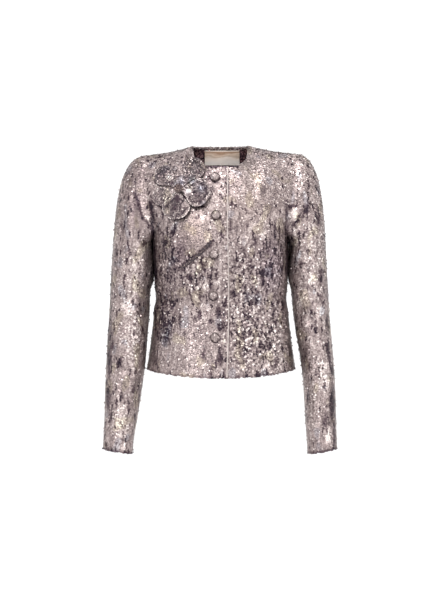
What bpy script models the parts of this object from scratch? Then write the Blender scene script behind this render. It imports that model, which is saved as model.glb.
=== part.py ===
"""A hip-length jacket sewn all over with sequins, buttoned and filled out with no wearer.

The frame: +Z is up, the front faces -Y, and the wearer's left is +X. The origin is the middle
of the shoulder line, where the wearer's shoulders hold the jacket. Sizes are in millimetres and
become metres when a mesh is made.

Every cloth piece is a wall. Its outer face is a grid of points worked out from sections and
edges, and its inner face is the same grid moved in along its normals. Grids run in rows from
the bottom up and in columns round the body or the arm.
"""
import math

import bpy
import numpy as np
from mathutils import Vector
from mathutils.bvhtree import BVHTree

MM = 0.001
OBJECT_NAME = "sequin_jacket"

# Cloth
WALL = 2.0
SEAM_GAP = 0.3
LAY_GAP = 0.4

# Neck and shoulders
NECK_HALF_WIDTH = 61.0
NECK_SIDE_Y = 3.0
NECK_SIDE_Z = 11.0
NECK_FRONT_Y = -70.0
NECK_FRONT_Z = -39.5
NECK_BACK_Y = 60.0
NECK_BACK_Z = 13.8
SHOULDER_TIP = (165.0, 4.0, -9.0)
SHOULDER_HOLLOW = 0.60
LEFT_SHOULDER_LIFT = 3.5
SEAM_REACH = 2.0
NECK_TURN_POWER = 1.36
NECK_FRONT_POWER = 0.625
NECK_BACK_WIDTH_POWER = 0.72
NECK_BACK_DEPTH_POWER = 0.85
FRONT_NECK_SHARE = 0.42
BACK_NECK_SHARE = 0.40

# How the cloth runs from the chest and the shoulder blades up to the neck and shoulders.
# Directions are x, y, z, and pulls are shares of the distance that is bridged.
SLOPE_STEP = 6.0
FLARE_POWER = 4
FRONT_FLARE = (0.30, -0.27, 0.0)
BACK_FLARE = (0.30, 0.22, 0.0)
FRONT_CENTRE_ARRIVAL = (0.0, 0.42, 0.90)
BACK_CENTRE_ARRIVAL = (0.0, -0.30, 0.95)
NECK_CORNER_LEAN = -0.55
LEAN_FADE = 1.6
ARMHOLE_SHARE = 0.55
LEAVE_PULL = 1.10
LEAVE_PULL_LOSS = 0.15
ARRIVE_PULL = 0.75
ARRIVE_PULL_LOSS = 0.20

# Body
JUNCTION_Z = -165.0
UNDERARM_Z = -196.0
UNDERARM_ROUNDNESS = 0.8
HEM_SIDE_Z = -477.0
HEM_FRONT_Z = -492.5
HEM_BACK_Z = -486.0
SECTION_POWER = 0.85
LEFT_EASE = 3.0
LEFT_EASE_HEIGHT = 60.0
FRONT_SEAM_ANGLE = 65.0
BACK_SEAM_ANGLE = 116.0

BODY_SECTIONS = {
    "height": (-500, -480, -461, -421, -395, -368, -329, -300, -260, -215, -165),
    "half_width": (162.5, 161, 158, 152.5, 149.5, 146, 142, 143.2, 145.0, 147.3, 152),
    "front_depth": (120, 117, 114, 108, 104, 101, 99, 103, 112, 119, 113),
    "back_depth": (114, 112, 109, 102, 97, 92, 87, 88, 93, 99, 104),
}

# Front closing. The right front laps over the left one.
EDGE_LINE = {"height": (-493, -327, -165), "x": (13.5, 17.5, 14.5)}
BAND_WIDTH = 11.5
UNDERLAP = 38.0
UNDERLAP_CLEAR = 1.0
UNDERLAP_EASE = 9.0

# Sleeves, one row of sections for each side, outer and inner edges measured from the centre
BICEP_Z = -215.0
BICEP_STEP = 10.0
SLEEVE_HEIGHTS = (-215, -260, -282, -302, -355, -408, -461, -527, -580, -632, -660)
SLEEVES = {
    "left": {
        "cap_leave": 0.72,
        "cap_arrive": 1.50,
        "cap_drop": 0.0,
        "outer": (231, 233, 234.5, 236, 238.5, 243, 247, 250.5, 251.5, 253, 253.5),
        "inner": (150.4, 149, 150, 155.5, 160.5, 168, 177, 183.2, 185.5, 189, 190),
    },
    "right": {
        "cap_leave": 0.85,
        "cap_arrive": 1.10,
        "cap_drop": 0.06,
        "outer": (236, 239, 240, 241, 243.5, 247, 249, 251.5, 252.5, 254.5, 255.5),
        "inner": (149, 146.6, 147, 154.5, 156.5, 161, 165, 173.5, 181.5, 190, 192.5),
    },
}
SLEEVE_DEPTH = {
    "height": (-215, -302, -408, -527, -660),
    "half_depth": (57, 54, 49, 43, 36),
    "centre_y": (1, 1, -6, -21, -38),
}
CUFF_OUTER_Z = -649.0
CUFF_INNER_Z = -660.0
CAP_SPREAD = 0.12
CAP_DROP_UNDER = 0.56
SLEEVE_GIRTH = 310.0
FORE_SEAM_SHARE = 0.30
HIND_SEAM_SHARE = 0.67

# Largest folds. Depth is positive for a trough and negative for a ridge, and falls off to the
# end share toward the fold's ends.
FOLD_END_SHARE = 0.45
BODY_FOLDS = (
    # face, from x, from z, to x, to z, width, depth
    ("front", -150, -345, -96, -352, 15, -4.0),
    ("front", -148, -322, -92, -334, 13, 3.0),
    ("front", 146, -318, 98, -336, 13, 2.6),
    ("front", 148, -350, 104, -352, 15, -2.4),
    ("front", -118, -395, -106, -478, 20, 3.0),
    ("front", 84, -400, 96, -484, 22, 3.0),
    ("front", -130, -120, -92, -176, 15, 2.6),
    ("front", 132, -112, 96, -170, 15, 2.2),
    ("back", -132, -316, -78, -338, 15, 3.4),
    ("back", 136, -320, 84, -336, 15, 3.0),
    ("back", -130, -118, -96, -182, 17, 3.0),
    ("back", 130, -124, 98, -176, 17, 2.6),
    ("back", -70, -398, -80, -480, 22, 3.0),
    ("back", 62, -392, 74, -482, 22, 3.4),
)
SLEEVE_FOLDS = (
    # side, from share round the arm, from z, to share, to z, width, depth
    ("right", 0.14, -72, 0.34, -170, 12, 4.5),
    ("right", 0.36, -300, 0.14, -345, 13, 3.2),
    ("right", 0.42, -352, 0.20, -388, 12, 2.8),
    ("right", 0.30, -470, 0.12, -500, 13, 2.4),
    ("right", 0.66, -100, 0.86, -180, 15, 3.6),
    ("right", 0.62, -345, 0.84, -375, 14, 3.2),
    ("left", 0.12, -112, 0.33, -168, 12, 4.0),
    ("left", 0.37, -285, 0.16, -330, 13, 2.8),
    ("left", 0.41, -350, 0.15, -398, 13, 3.0),
    ("left", 0.28, -455, 0.10, -490, 14, 2.4),
    ("left", 0.66, -96, 0.86, -176, 15, 3.6),
    ("left", 0.63, -335, 0.85, -372, 14, 3.2),
)

# Where a panel is carried on past its edges, for what stands over an edge
PAST_EDGE = 24.0
PAST_TOP = (0.0, 0.35, 1.0)
PAST_BOTTOM = (0.0, 0.0, -1.0)
# Rays that find a panel start this far off, and its normal is measured this far to each side
RAY_START = 1000.0
NORMAL_REACH = 4.0
LABEL_NORMAL_REACH = 2.0
SHARP_ANGLE = 50.0

# Grid counts
LOWER_ROWS = 13
UPPER_ROWS = 9
NECK_COLUMNS = 6
SHOULDER_COLUMNS = 5
UNDERLAP_COLUMNS = 2
BAND_COLUMNS = 2
SIDE_COLUMNS = 6
CAP_ROWS = 6
ARM_ROWS = 17

# Neck facing and label
FACING_WALL = 1.2
FACING_ROWS = 4
LABEL_COLUMNS = 13
LABEL_ROWS = 7
LABEL_GAP = 0.6
LABEL_WALL = 1.0
LABEL_BOX = {"left": -35.2, "right": 42.6, "bottom": -25.0, "top": 6.5}

# Buttons
BUTTON_RADIUS = 9.4
BUTTON_HEIGHT = 7.0
BUTTON_BASE_RADIUS = 6.2
BUTTON_RIM_HEIGHT = 2.4
BUTTON_NECK_HEIGHT = 0.9
BUTTON_AROUND = 16
BUTTON_DOME_STEPS = 5
BUTTONS = (
    # x, z
    (-11.8, -62.0),
    (-9.8, -145.5),
    (-14.0, -229.5),
    (-15.2, -318.0),
    (-11.6, -407.5),
)

# Flower sewn on the wearer's right chest
FLOWER_CENTRE = (-88.4, -89.5)
PETAL_WALL = 1.6
PETAL_ROOT = 7.0
PETAL_WAIST = 0.55
PETAL_POINT_POWER = 6
RIM_RISE_POWER = 3
RIM_SPREAD_POWER = 0.8
PETAL_AROUND = 16
PETAL_RINGS = 4
PETALS = (
    # name, angle from +X, distance to its middle, length and breadth radii, lift, rim's rise
    ("petal_1", 137.0, 41.5, 21.0, 21.0, 1.0, 7.0),
    ("petal_2", 201.5, 37.0, 21.5, 19.5, 1.0, 2.6),
    ("petal_3", 264.0, 39.5, 25.0, 28.0, 3.0, 5.0),
    ("petal_4", 346.0, 41.0, 26.0, 29.5, 5.0, 6.0),
    ("petal_5", 56.5, 54.0, 26.0, 25.0, 1.0, 4.5),
)
FLOWER_CENTRE_RADIUS = 9.0
FLOWER_CENTRE_LIFT = 7.0
FLOWER_CENTRE_RISE = 3.0
FLOWER_CENTRE_WALL = 1.0
FLOWER_STEM_SIZE = 0.34
FLOWER_CENTRE_AROUND = 12
FLOWER_CENTRE_RINGS = 3

# Beaded line below the flower
LINE_START = (-20.5, -204.0)
LINE_END = (-85.0, -259.0)
LINE_BOW = 3.0
LINE_WIDTH = 7.0
LINE_HEIGHT = 2.6
LINE_BASE = 0.5
LINE_STEPS = 14
LINE_END_WIDTH = 0.45
LINE_TAPER = 2.2
LINE_PROFILE = (
    # share across, share up
    (-0.5, 0.0),
    (-0.36, 0.75),
    (0.0, 1.0),
    (0.36, 0.75),
    (0.5, 0.0),
)

COLOURS = {
    # red, green, blue, roughness, metallic
    "sequin cloth": (0.40, 0.33, 0.33, 0.38, 0.55),
    "under sleeve cloth": (0.36, 0.29, 0.27, 0.42, 0.50),
    "edge band": (0.46, 0.39, 0.38, 0.45, 0.40),
    "facing cloth": (0.07, 0.05, 0.07, 0.55, 0.30),
    "label satin": (0.55, 0.44, 0.36, 0.40, 0.0),
    "button cover": (0.36, 0.30, 0.30, 0.40, 0.55),
    "petal cloth": (0.27, 0.26, 0.30, 0.42, 0.50),
    "bead": (0.22, 0.16, 0.14, 0.40, 0.40),
}


def clear_scene():
    for old in list(bpy.data.objects):
        bpy.data.objects.remove(old, do_unlink=True)
    for old in list(bpy.data.collections):
        bpy.data.collections.remove(old)


def material(name):
    """One Principled material for each colour row, made once."""
    made = bpy.data.materials.get(name)
    if made:
        return made
    red, green, blue, roughness, metallic = COLOURS[name]
    made = bpy.data.materials.new(name)
    made.use_nodes = True
    shader = made.node_tree.nodes["Principled BSDF"]
    shader.inputs["Base Color"].default_value = (red, green, blue, 1.0)
    shader.inputs["Roughness"].default_value = roughness
    shader.inputs["Metallic"].default_value = metallic
    return made


def smooth_curve(knots, values):
    """A curve through the knots that never overshoots a value. Both lists run upward."""
    knots = np.asarray(knots, dtype=float)
    values = np.asarray(values, dtype=float)
    step = np.diff(knots)
    slope = np.diff(values) / step
    tangent = np.zeros_like(values)
    tangent[0] = slope[0]
    tangent[-1] = slope[-1]
    product = slope[:-1] * slope[1:]
    total = np.where(product > 0, slope[:-1] + slope[1:], 1.0)
    tangent[1:-1] = np.where(product > 0, 2.0 * product / total, 0.0)

    def at(place):
        place = np.clip(place, knots[0], knots[-1])
        index = np.clip(np.searchsorted(knots, place) - 1, 0, len(step) - 1)
        t = (place - knots[index]) / step[index]
        start = (1 + 2 * t) * (1 - t) ** 2 * values[index]
        leave = t * (1 - t) ** 2 * step[index] * tangent[index]
        end = t * t * (3 - 2 * t) * values[index + 1]
        arrive = t * t * (t - 1) * step[index] * tangent[index + 1]
        return start + leave + end + arrive

    return at


def signed_power(value, power):
    return np.sign(value) * np.abs(value) ** power


def stack(x, y, z):
    return np.stack(np.broadcast_arrays(x, y, z), axis=-1)


def unit(vectors):
    return vectors / np.linalg.norm(vectors, axis=-1, keepdims=True)


def hermite(start, leave, end, arrive, t):
    t = t[..., None]
    bent = (1 + 2 * t) * (1 - t) ** 2 * start + t * (1 - t) ** 2 * leave
    return bent + t * t * (3 - 2 * t) * end + t * t * (t - 1) * arrive


body_half_width = smooth_curve(BODY_SECTIONS["height"], BODY_SECTIONS["half_width"])
body_front_depth = smooth_curve(BODY_SECTIONS["height"], BODY_SECTIONS["front_depth"])
body_back_depth = smooth_curve(BODY_SECTIONS["height"], BODY_SECTIONS["back_depth"])
edge_line_x = smooth_curve(EDGE_LINE["height"], EDGE_LINE["x"])
sleeve_half_depth = smooth_curve(SLEEVE_DEPTH["height"][::-1], SLEEVE_DEPTH["half_depth"][::-1])
sleeve_centre_y = smooth_curve(SLEEVE_DEPTH["height"][::-1], SLEEVE_DEPTH["centre_y"][::-1])


def ring_point(angle, z):
    """A point of the body's section. The angle is 0 at the front, 90 at +X and 180 behind.

    Below the arms the body hangs a little fuller on the wearer's left.
    """
    turn = np.radians(angle)
    ease = LEFT_EASE * np.clip((UNDERARM_Z - z) / LEFT_EASE_HEIGHT, 0, 1) * (np.sin(turn) > 0)
    across = signed_power(np.sin(turn), SECTION_POWER) * (body_half_width(z) + ease)
    along = signed_power(np.cos(turn), SECTION_POWER)
    depth = np.where(along > 0, body_front_depth(z), body_back_depth(z))
    return stack(across, -along * depth, z)


def angle_at_x(x, z):
    """The ring angle near the centre front where the section crosses x."""
    return np.degrees(np.arcsin(signed_power(x / body_half_width(z), 1 / SECTION_POWER)))


def hem_height(angle):
    middle = np.where(np.abs(angle) < 90, HEM_FRONT_Z, HEM_BACK_Z)
    return HEM_SIDE_Z + (middle - HEM_SIDE_Z) * np.cos(np.radians(angle)) ** 2


def lower_top(angle):
    """Where the lower rows end: level with the junction, and dipping under the arm."""
    size = np.abs(angle)
    share = np.clip((size - FRONT_SEAM_ANGLE) / (BACK_SEAM_ANGLE - FRONT_SEAM_ANGLE), 0, 1)
    return JUNCTION_Z + (UNDERARM_Z - JUNCTION_Z) * np.sin(np.pi * share) ** UNDERARM_ROUNDNESS


def neck_turn(share, neck_share):
    """Turns a column's share of the panel into an angle along the neckline."""
    return np.radians(90) * np.clip(share / neck_share, 0, 1) ** NECK_TURN_POWER


def shoulder_line(share):
    """The shoulder seam from the neck, at 0, to the armhole, at 1."""
    tip_x, tip_y, tip_z = SHOULDER_TIP
    x = NECK_HALF_WIDTH + (tip_x - NECK_HALF_WIDTH) * share
    y = NECK_SIDE_Y + (tip_y - NECK_SIDE_Y) * share
    z = NECK_SIDE_Z + (tip_z - NECK_SIDE_Z) * share * (1 + SHOULDER_HOLLOW * (1 - share))
    return stack(x, y, z)


def shoulder_slope(share):
    """How fast the shoulder seam falls for each millimetre outward."""
    fall = (NECK_SIDE_Z - SHOULDER_TIP[2]) / (SHOULDER_TIP[0] - NECK_HALF_WIDTH)
    return fall * (1 + SHOULDER_HOLLOW * (1 - 2 * share))


def front_top(share):
    """The top edge of a front, for shares 0 to 1: half the neckline, then the shoulder."""
    turn = neck_turn(share, FRONT_NECK_SHARE)
    x = NECK_HALF_WIDTH * np.sin(turn) ** NECK_FRONT_POWER
    y = NECK_FRONT_Y + (NECK_SIDE_Y - NECK_FRONT_Y) * (1 - np.cos(turn))
    z = NECK_FRONT_Z + (NECK_SIDE_Z - NECK_FRONT_Z) * (1 - np.cos(turn) ** NECK_FRONT_POWER)
    along = np.clip((share - FRONT_NECK_SHARE) / (1 - FRONT_NECK_SHARE), 0, 1)
    on_neck = (share <= FRONT_NECK_SHARE)[..., None]
    return np.where(on_neck, stack(x, y, z), shoulder_line(along))


def back_top(share):
    """The top edge of a back, for shares 0 at the centre to 1 at the armhole."""
    turn = neck_turn(share, BACK_NECK_SHARE)
    x = NECK_HALF_WIDTH * np.sin(turn) ** NECK_BACK_WIDTH_POWER
    y = NECK_SIDE_Y + (NECK_BACK_Y - NECK_SIDE_Y) * np.cos(turn) ** NECK_BACK_DEPTH_POWER
    z = NECK_SIDE_Z + (NECK_BACK_Z - NECK_SIDE_Z) * np.cos(turn)
    along = np.clip((share - BACK_NECK_SHARE) / (1 - BACK_NECK_SHARE), 0, 1)
    on_neck = (share <= BACK_NECK_SHARE)[..., None]
    return np.where(on_neck, stack(x, y, z), shoulder_line(along))


def mirrored(points, side):
    flipped = points.copy()
    flipped[..., 0] = points[..., 0] * side
    return flipped


def eased(share):
    share = np.clip(share, 0, 1)
    return share * share * (3 - 2 * share)


def lifted(points):
    """The points with the wearer's left shoulder raised, which sits higher than the right."""
    tip_x, _, tip_z = SHOULDER_TIP
    up = eased((points[..., 2] - JUNCTION_Z) / (tip_z - JUNCTION_Z))
    raised = points.copy()
    raised[..., 2] += LEFT_SHOULDER_LIFT * up * eased(points[..., 0] / tip_x)
    return raised


def blend(start, end, share):
    """Mixes two directions, for shares from 0 to 1."""
    share = np.clip(share, 0, 1)[..., None]
    return np.asarray(start) * (1 - share) + np.asarray(end) * share


def upper_point(angle, t):
    """A point above the junction. t runs from the junction, at 0, to the top edge, at 1."""
    side = np.where(angle < 0, -1.0, 1.0)
    size = np.abs(angle)
    front = size < 90
    share = np.where(front, size / FRONT_SEAM_ANGLE, (180 - size) / (180 - BACK_SEAM_ANGLE))
    start = ring_point(size, np.full_like(size, JUNCTION_Z))
    below = ring_point(size, np.full_like(size, JUNCTION_Z - SLOPE_STEP))
    rise = (start - below) / SLOPE_STEP
    flare = share[..., None] ** FLARE_POWER
    leave_front = rise + flare * np.array(FRONT_FLARE)
    leave_back = rise + flare * np.array(BACK_FLARE)
    neck = share / np.where(front, FRONT_NECK_SHARE, BACK_NECK_SHARE)
    seam = (neck - 1) / np.where(front, 1 / FRONT_NECK_SHARE - 1, 1 / BACK_NECK_SHARE - 1)
    seam = np.clip(seam, 0, 1)
    lean = NECK_CORNER_LEAN * (1 - np.clip(LEAN_FADE * seam, 0, 1))
    over_front = unit(stack(lean, 1.0, -lean * shoulder_slope(seam)))
    over_back = unit(stack(lean, -1.0, -lean * shoulder_slope(seam)))
    arrive_front = blend(FRONT_CENTRE_ARRIVAL, over_front, neck)
    arrive_back = blend(BACK_CENTRE_ARRIVAL, over_back, neck)
    pick = front[..., None]
    end = np.where(pick, front_top(share), back_top(share))
    reach = np.linalg.norm(end - start, axis=-1, keepdims=True)
    edge = np.clip((share[..., None] - ARMHOLE_SHARE) / (1 - ARMHOLE_SHARE), 0, 1)
    leave = np.where(pick, leave_front, leave_back) * reach * (LEAVE_PULL - LEAVE_PULL_LOSS * edge)
    pull = ARRIVE_PULL - ARRIVE_PULL_LOSS * edge
    arrive = np.where(pick, arrive_front, arrive_back) * reach * pull
    return lifted(mirrored(hermite(start, leave, end, arrive, t), side))


def fold_depth(points, folds, face_of):
    """How far each fold of a table moves each point in, as a smooth trough along a line."""
    depth = np.zeros(points.shape[:-1])
    for face, x_0, z_0, x_1, z_1, width, size in folds:
        start = np.array((x_0, z_0), dtype=float)
        run = np.array((x_1 - x_0, z_1 - z_0), dtype=float)
        flat = points[..., (0, 2)] - start
        along = np.clip((flat @ run) / (run @ run), 0, 1)
        away = np.linalg.norm(flat - along[..., None] * run, axis=-1)
        taper = FOLD_END_SHARE + (1 - FOLD_END_SHARE) * np.sin(np.pi * along)
        depth += face_of(face) * size * taper * np.exp(-((away / width) ** 2))
    return depth


def grid_normals(grid):
    """Outward normals of a grid whose rows run up and whose columns run toward +angle."""
    across = np.gradient(grid, axis=1, edge_order=2)
    up = np.gradient(grid, axis=0, edge_order=2)
    return unit(np.cross(across, up))


def body_grid(angles):
    """The lower rows, and above them the upper rows where the columns are not under the arm."""
    hem = hem_height(angles[0])
    top = lower_top(angles[0])
    level = np.linspace(0, 1, LOWER_ROWS + 1)[:, None]
    lower_angles = angles[: LOWER_ROWS + 1]
    lower = ring_point(lower_angles, hem + (top - hem) * level)
    if len(angles) == LOWER_ROWS + 1:
        return lower
    t = np.linspace(0, 1, UPPER_ROWS + 1)[1:, None] + np.zeros_like(angles[:1])
    upper = upper_point(angles[LOWER_ROWS + 1:], t)
    return np.concatenate((lower, upper), axis=0)


def folded(grid):
    """The grid with the body's folds pressed into it, and its normals.

    Along the shoulder seam front and back share one normal, so their walls meet squarely.
    """
    normals = grid_normals(grid)
    front = grid[..., 1] < 0

    def face_of(face):
        return np.where(front if face == "front" else ~front, 1.0, 0.0)

    grid = grid - fold_depth(grid, BODY_FOLDS, face_of)[..., None] * normals
    normals = grid_normals(grid)
    on_seam = np.abs(grid[-1, :, 1] - NECK_SIDE_Y) < SEAM_REACH
    on_seam &= grid[-1, :, 2] > SHOULDER_TIP[2] - SEAM_REACH
    along = (np.abs(grid[-1, :, 0]) - NECK_HALF_WIDTH) / (SHOULDER_TIP[0] - NECK_HALF_WIDTH)
    upright = unit(stack(np.sign(grid[-1, :, 0]) * shoulder_slope(along), 0.0, 1.0))
    normals[-1] = np.where(on_seam[:, None], upright, normals[-1])
    return grid, normals


def column_angles(stops, counts, rows):
    """A table of angles, row by row, spread evenly between stops.

    A stop is one angle, or one for each row. Counts holds the columns between the stops.
    """
    stops = [np.broadcast_to(np.asarray(stop, dtype=float), (rows,))[:, None] for stop in stops]
    spread = [stops[0]]
    for start, end, count in zip(stops[:-1], stops[1:], counts):
        share = np.linspace(0, 1, count + 1)[None, 1:]
        spread.append(start + (end - start) * share)
    return np.concatenate(spread, axis=1)


def trimmed(grid, edges):
    """Draws the named edges of a grid in by half a seam gap."""
    grid = grid.copy()
    half = SEAM_GAP / 2
    places = {
        "first": ((slice(None), 0), (slice(None), 1)),
        "last": ((slice(None), -1), (slice(None), -2)),
        "bottom": ((0,), (1,)),
        "top": ((-1,), (-2,)),
    }
    for name in edges:
        edge, inside = places[name]
        grid[edge] = grid[edge] + half * unit(grid[inside] - grid[edge])
    return grid


def new_object(name, vertices, faces, colour, smooth=True):
    mesh = bpy.data.meshes.new(name)
    mesh.from_pydata([tuple(MM * float(c) for c in v) for v in vertices], [], faces)
    mesh.update()
    mesh.materials.append(material(colour))
    made = bpy.data.objects.new(name, mesh)
    bpy.data.collections[OBJECT_NAME].objects.link(made)
    if smooth:
        mesh.shade_smooth()
        mesh.set_sharp_from_angle(angle=math.radians(SHARP_ANGLE))
    return made


def wall_faces(rows, columns, closed=False):
    """Faces of a wall between an outer grid and an inner grid, numbered outer first."""
    total = rows * columns
    spans = columns if closed else columns - 1
    faces = []

    def index(row, column, inner):
        return inner * total + row * columns + column % columns

    for row in range(rows - 1):
        for column in range(spans):
            a = index(row, column, 0)
            b = index(row, column + 1, 0)
            c = index(row + 1, column + 1, 0)
            d = index(row + 1, column, 0)
            faces += [(a, b, c), (a, c, d)]
            faces += [(c + total, b + total, a + total), (d + total, c + total, a + total)]
    for column in range(spans):
        for row, order in ((0, 1), (rows - 1, -1)):
            a = index(row, column, 0)
            b = index(row, column + 1, 0)
            rim = (b, a, a + total, b + total)
            faces.append(rim[::order])
    if closed:
        return faces
    for row in range(rows - 1):
        for column, order in ((0, 1), (columns - 1, -1)):
            a = index(row, column, 0)
            b = index(row + 1, column, 0)
            rim = (a, b, b + total, a + total)
            faces.append(rim[::order])
    return faces


def wall(name, outer, inner, colour):
    """A closed wall between two grids of the same shape."""
    rows, columns = outer.shape[:2]
    vertices = np.concatenate((outer.reshape(-1, 3), inner.reshape(-1, 3)))
    return new_object(name, vertices, wall_faces(rows, columns), colour)


def cloth_panel(name, grid, normals, edges, colour, thickness=WALL):
    """A cloth piece: its grid, drawn in at its seams, and the same grid moved in."""
    inner = trimmed(grid - thickness * normals, edges)
    return wall(name, trimmed(grid, edges), inner, colour)


def front_rows_z():
    """Heights of a front's lower rows at the centre, used to place the front edge."""
    return np.linspace(HEM_FRONT_Z, JUNCTION_Z, LOWER_ROWS + 1)


def edge_angles(offset):
    """Ring angles, row by row, of a line at an offset from the right front's edge."""
    heights = front_rows_z()
    lower = angle_at_x(edge_line_x(heights) + offset, heights)
    return np.concatenate((lower, np.full(UPPER_ROWS, lower[-1])))


FULL_ROWS = LOWER_ROWS + 1 + UPPER_ROWS
NECK_ANGLE_FRONT = FRONT_SEAM_ANGLE * FRONT_NECK_SHARE
NECK_ANGLE_BACK = 180 - (180 - BACK_SEAM_ANGLE) * BACK_NECK_SHARE


def make_fronts():
    """The right front, the band along its edge, and the left front that runs under both."""
    band_edge = edge_angles(-BAND_WIDTH)
    lap_edge = edge_angles(0.0)
    counts = (SHOULDER_COLUMNS, NECK_COLUMNS)
    angles = column_angles((-FRONT_SEAM_ANGLE, -NECK_ANGLE_FRONT, band_edge), counts, FULL_ROWS)
    right, normals = folded(body_grid(angles))
    cloth_panel("front_right", right, normals, ("first", "last", "top"), "sequin cloth")

    angles = column_angles((band_edge, lap_edge), (BAND_COLUMNS,), FULL_ROWS)
    band, normals = folded(body_grid(angles))
    cloth_panel("front_band", band, normals, ("first",), "edge band")

    under_edge = edge_angles(-UNDERLAP)
    stops = (under_edge, band_edge, lap_edge, NECK_ANGLE_FRONT, FRONT_SEAM_ANGLE)
    counts = (UNDERLAP_COLUMNS, BAND_COLUMNS, NECK_COLUMNS, SHOULDER_COLUMNS)
    angles = column_angles(stops, counts, FULL_ROWS)
    left, normals = folded(body_grid(angles))
    past_edge = (angles - lap_edge[:, None] - UNDERLAP_CLEAR) / UNDERLAP_EASE
    under = 1 - np.clip(past_edge, 0, 1)
    left = left - (WALL + LAY_GAP) * under[..., None] * normals
    cloth_panel("front_left", left, normals, ("last", "top"), "sequin cloth")
    return right, band


def make_backs():
    """Two backs joined at a centre seam."""
    grids = []
    for name, side in (("back_left", 1), ("back_right", -1)):
        stops = (side * BACK_SEAM_ANGLE, side * NECK_ANGLE_BACK, side * 180.0)
        counts = (SHOULDER_COLUMNS, NECK_COLUMNS)
        angles = column_angles(stops[::side], counts[::side], FULL_ROWS)
        grid, normals = folded(body_grid(angles))
        cloth_panel(name, grid, normals, ("first", "last", "top"), "sequin cloth")
        grids.append((grid, normals))
    return grids


def make_sides():
    """A narrow panel under each arm, from the hem to the bottom of the armhole."""
    for name, side in (("side_left", 1), ("side_right", -1)):
        stops = (side * FRONT_SEAM_ANGLE, side * BACK_SEAM_ANGLE)
        angles = column_angles(stops[::side], (SIDE_COLUMNS,), LOWER_ROWS + 1)
        grid, normals = folded(body_grid(angles))
        cloth_panel(name, grid, normals, ("first", "last", "top"), "sequin cloth")


def armhole_loop(side):
    """An armhole, from the shoulder tip forward, under the arm and back up, on the +X side."""
    sign = 1 if side == "left" else -1
    top = np.linspace(1, 0, UPPER_ROWS + 1)
    front = upper_point(np.full(UPPER_ROWS + 1, sign * FRONT_SEAM_ANGLE), top)
    angles = np.linspace(FRONT_SEAM_ANGLE, BACK_SEAM_ANGLE, SIDE_COLUMNS + 1)
    under = ring_point(sign * angles, lower_top(angles))
    back = upper_point(np.full(UPPER_ROWS + 1, sign * BACK_SEAM_ANGLE), top[::-1])
    return mirrored(np.concatenate((front[:-1], under[:-1], back[:-1])), sign)


def sleeve_ring(side, share, z):
    """Points of an arm's section. The share is 0 outside, 0.25 in front and 0.5 inside."""
    heights = SLEEVE_HEIGHTS[::-1]
    outer = smooth_curve(heights, SLEEVES[side]["outer"][::-1])(z)
    inner = smooth_curve(heights, SLEEVES[side]["inner"][::-1])(z)
    turn = 2 * np.pi * share
    x = (outer + inner) / 2 + (outer - inner) / 2 * np.cos(turn)
    y = sleeve_centre_y(z) - sleeve_half_depth(z) * np.sin(turn)
    return stack(x, y, z)


def sleeve_grid(side):
    """The whole sleeve, cuff first, on the +X side, with its columns from the outside forward."""
    loop = armhole_loop(side)
    following = np.roll(loop, -1, axis=0)
    lengths = np.linalg.norm(following - loop, axis=1)
    run = np.concatenate(((0,), np.cumsum(lengths)[:-1])) / lengths.sum()
    bottom = run[UPPER_ROWS + SIDE_COLUMNS // 2]
    share = np.where(run < bottom, 0.5 * run / bottom, 0.5 + 0.5 * (run - bottom) / (1 - bottom))
    turn = 2 * np.pi * share
    inward = (1 - np.cos(turn)) / 2

    bicep = sleeve_ring(side, share, np.full_like(share, BICEP_Z))
    below = sleeve_ring(side, share, np.full_like(share, BICEP_Z - BICEP_STEP))
    drop = SLEEVES[side]["cap_drop"] + CAP_DROP_UNDER * inward
    leave = unit(stack(np.ones_like(turn), -CAP_SPREAD * np.sin(turn), -drop))
    start = loop + SEAM_GAP * leave
    reach = np.linalg.norm(bicep - start, axis=1, keepdims=True)
    t = np.linspace(0, 1, CAP_ROWS + 1)[:, None] + np.zeros_like(share)[None, :]
    down = unit(below - bicep)
    leave = SLEEVES[side]["cap_leave"] * reach * leave
    arrive = SLEEVES[side]["cap_arrive"] * reach * down
    cap = hermite(start, leave, bicep, arrive, t)

    cuff = CUFF_OUTER_Z + (CUFF_INNER_Z - CUFF_OUTER_Z) * inward
    level = np.linspace(0, 1, ARM_ROWS + 1)[:-1, None]
    arm = sleeve_ring(side, share[None, :], cuff + (BICEP_Z - cuff) * level)
    grid = np.concatenate((arm, cap[::-1]), axis=0)
    return grid, share


def sleeve_fold_depth(side, grid, share):
    """The folds of one sleeve, measured along its surface. The armhole keeps its line."""
    flat = stack(share[None, :] * SLEEVE_GIRTH, 0 * grid[..., 0], grid[..., 2])
    folds = [(side, s_0 * SLEEVE_GIRTH, z_0, s_1 * SLEEVE_GIRTH, z_1, width, depth)
             for which, s_0, z_0, s_1, z_1, width, depth in SLEEVE_FOLDS if which == side]
    depth = fold_depth(flat, folds, lambda face: 1.0)
    depth[-1] = 0
    return depth


def ring_normals(grid):
    """Outward normals of a grid whose columns close round the arm."""
    across = np.roll(grid, -1, axis=1) - np.roll(grid, 1, axis=1)
    up = np.gradient(grid, axis=0, edge_order=2)
    return unit(np.cross(up, across))


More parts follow.
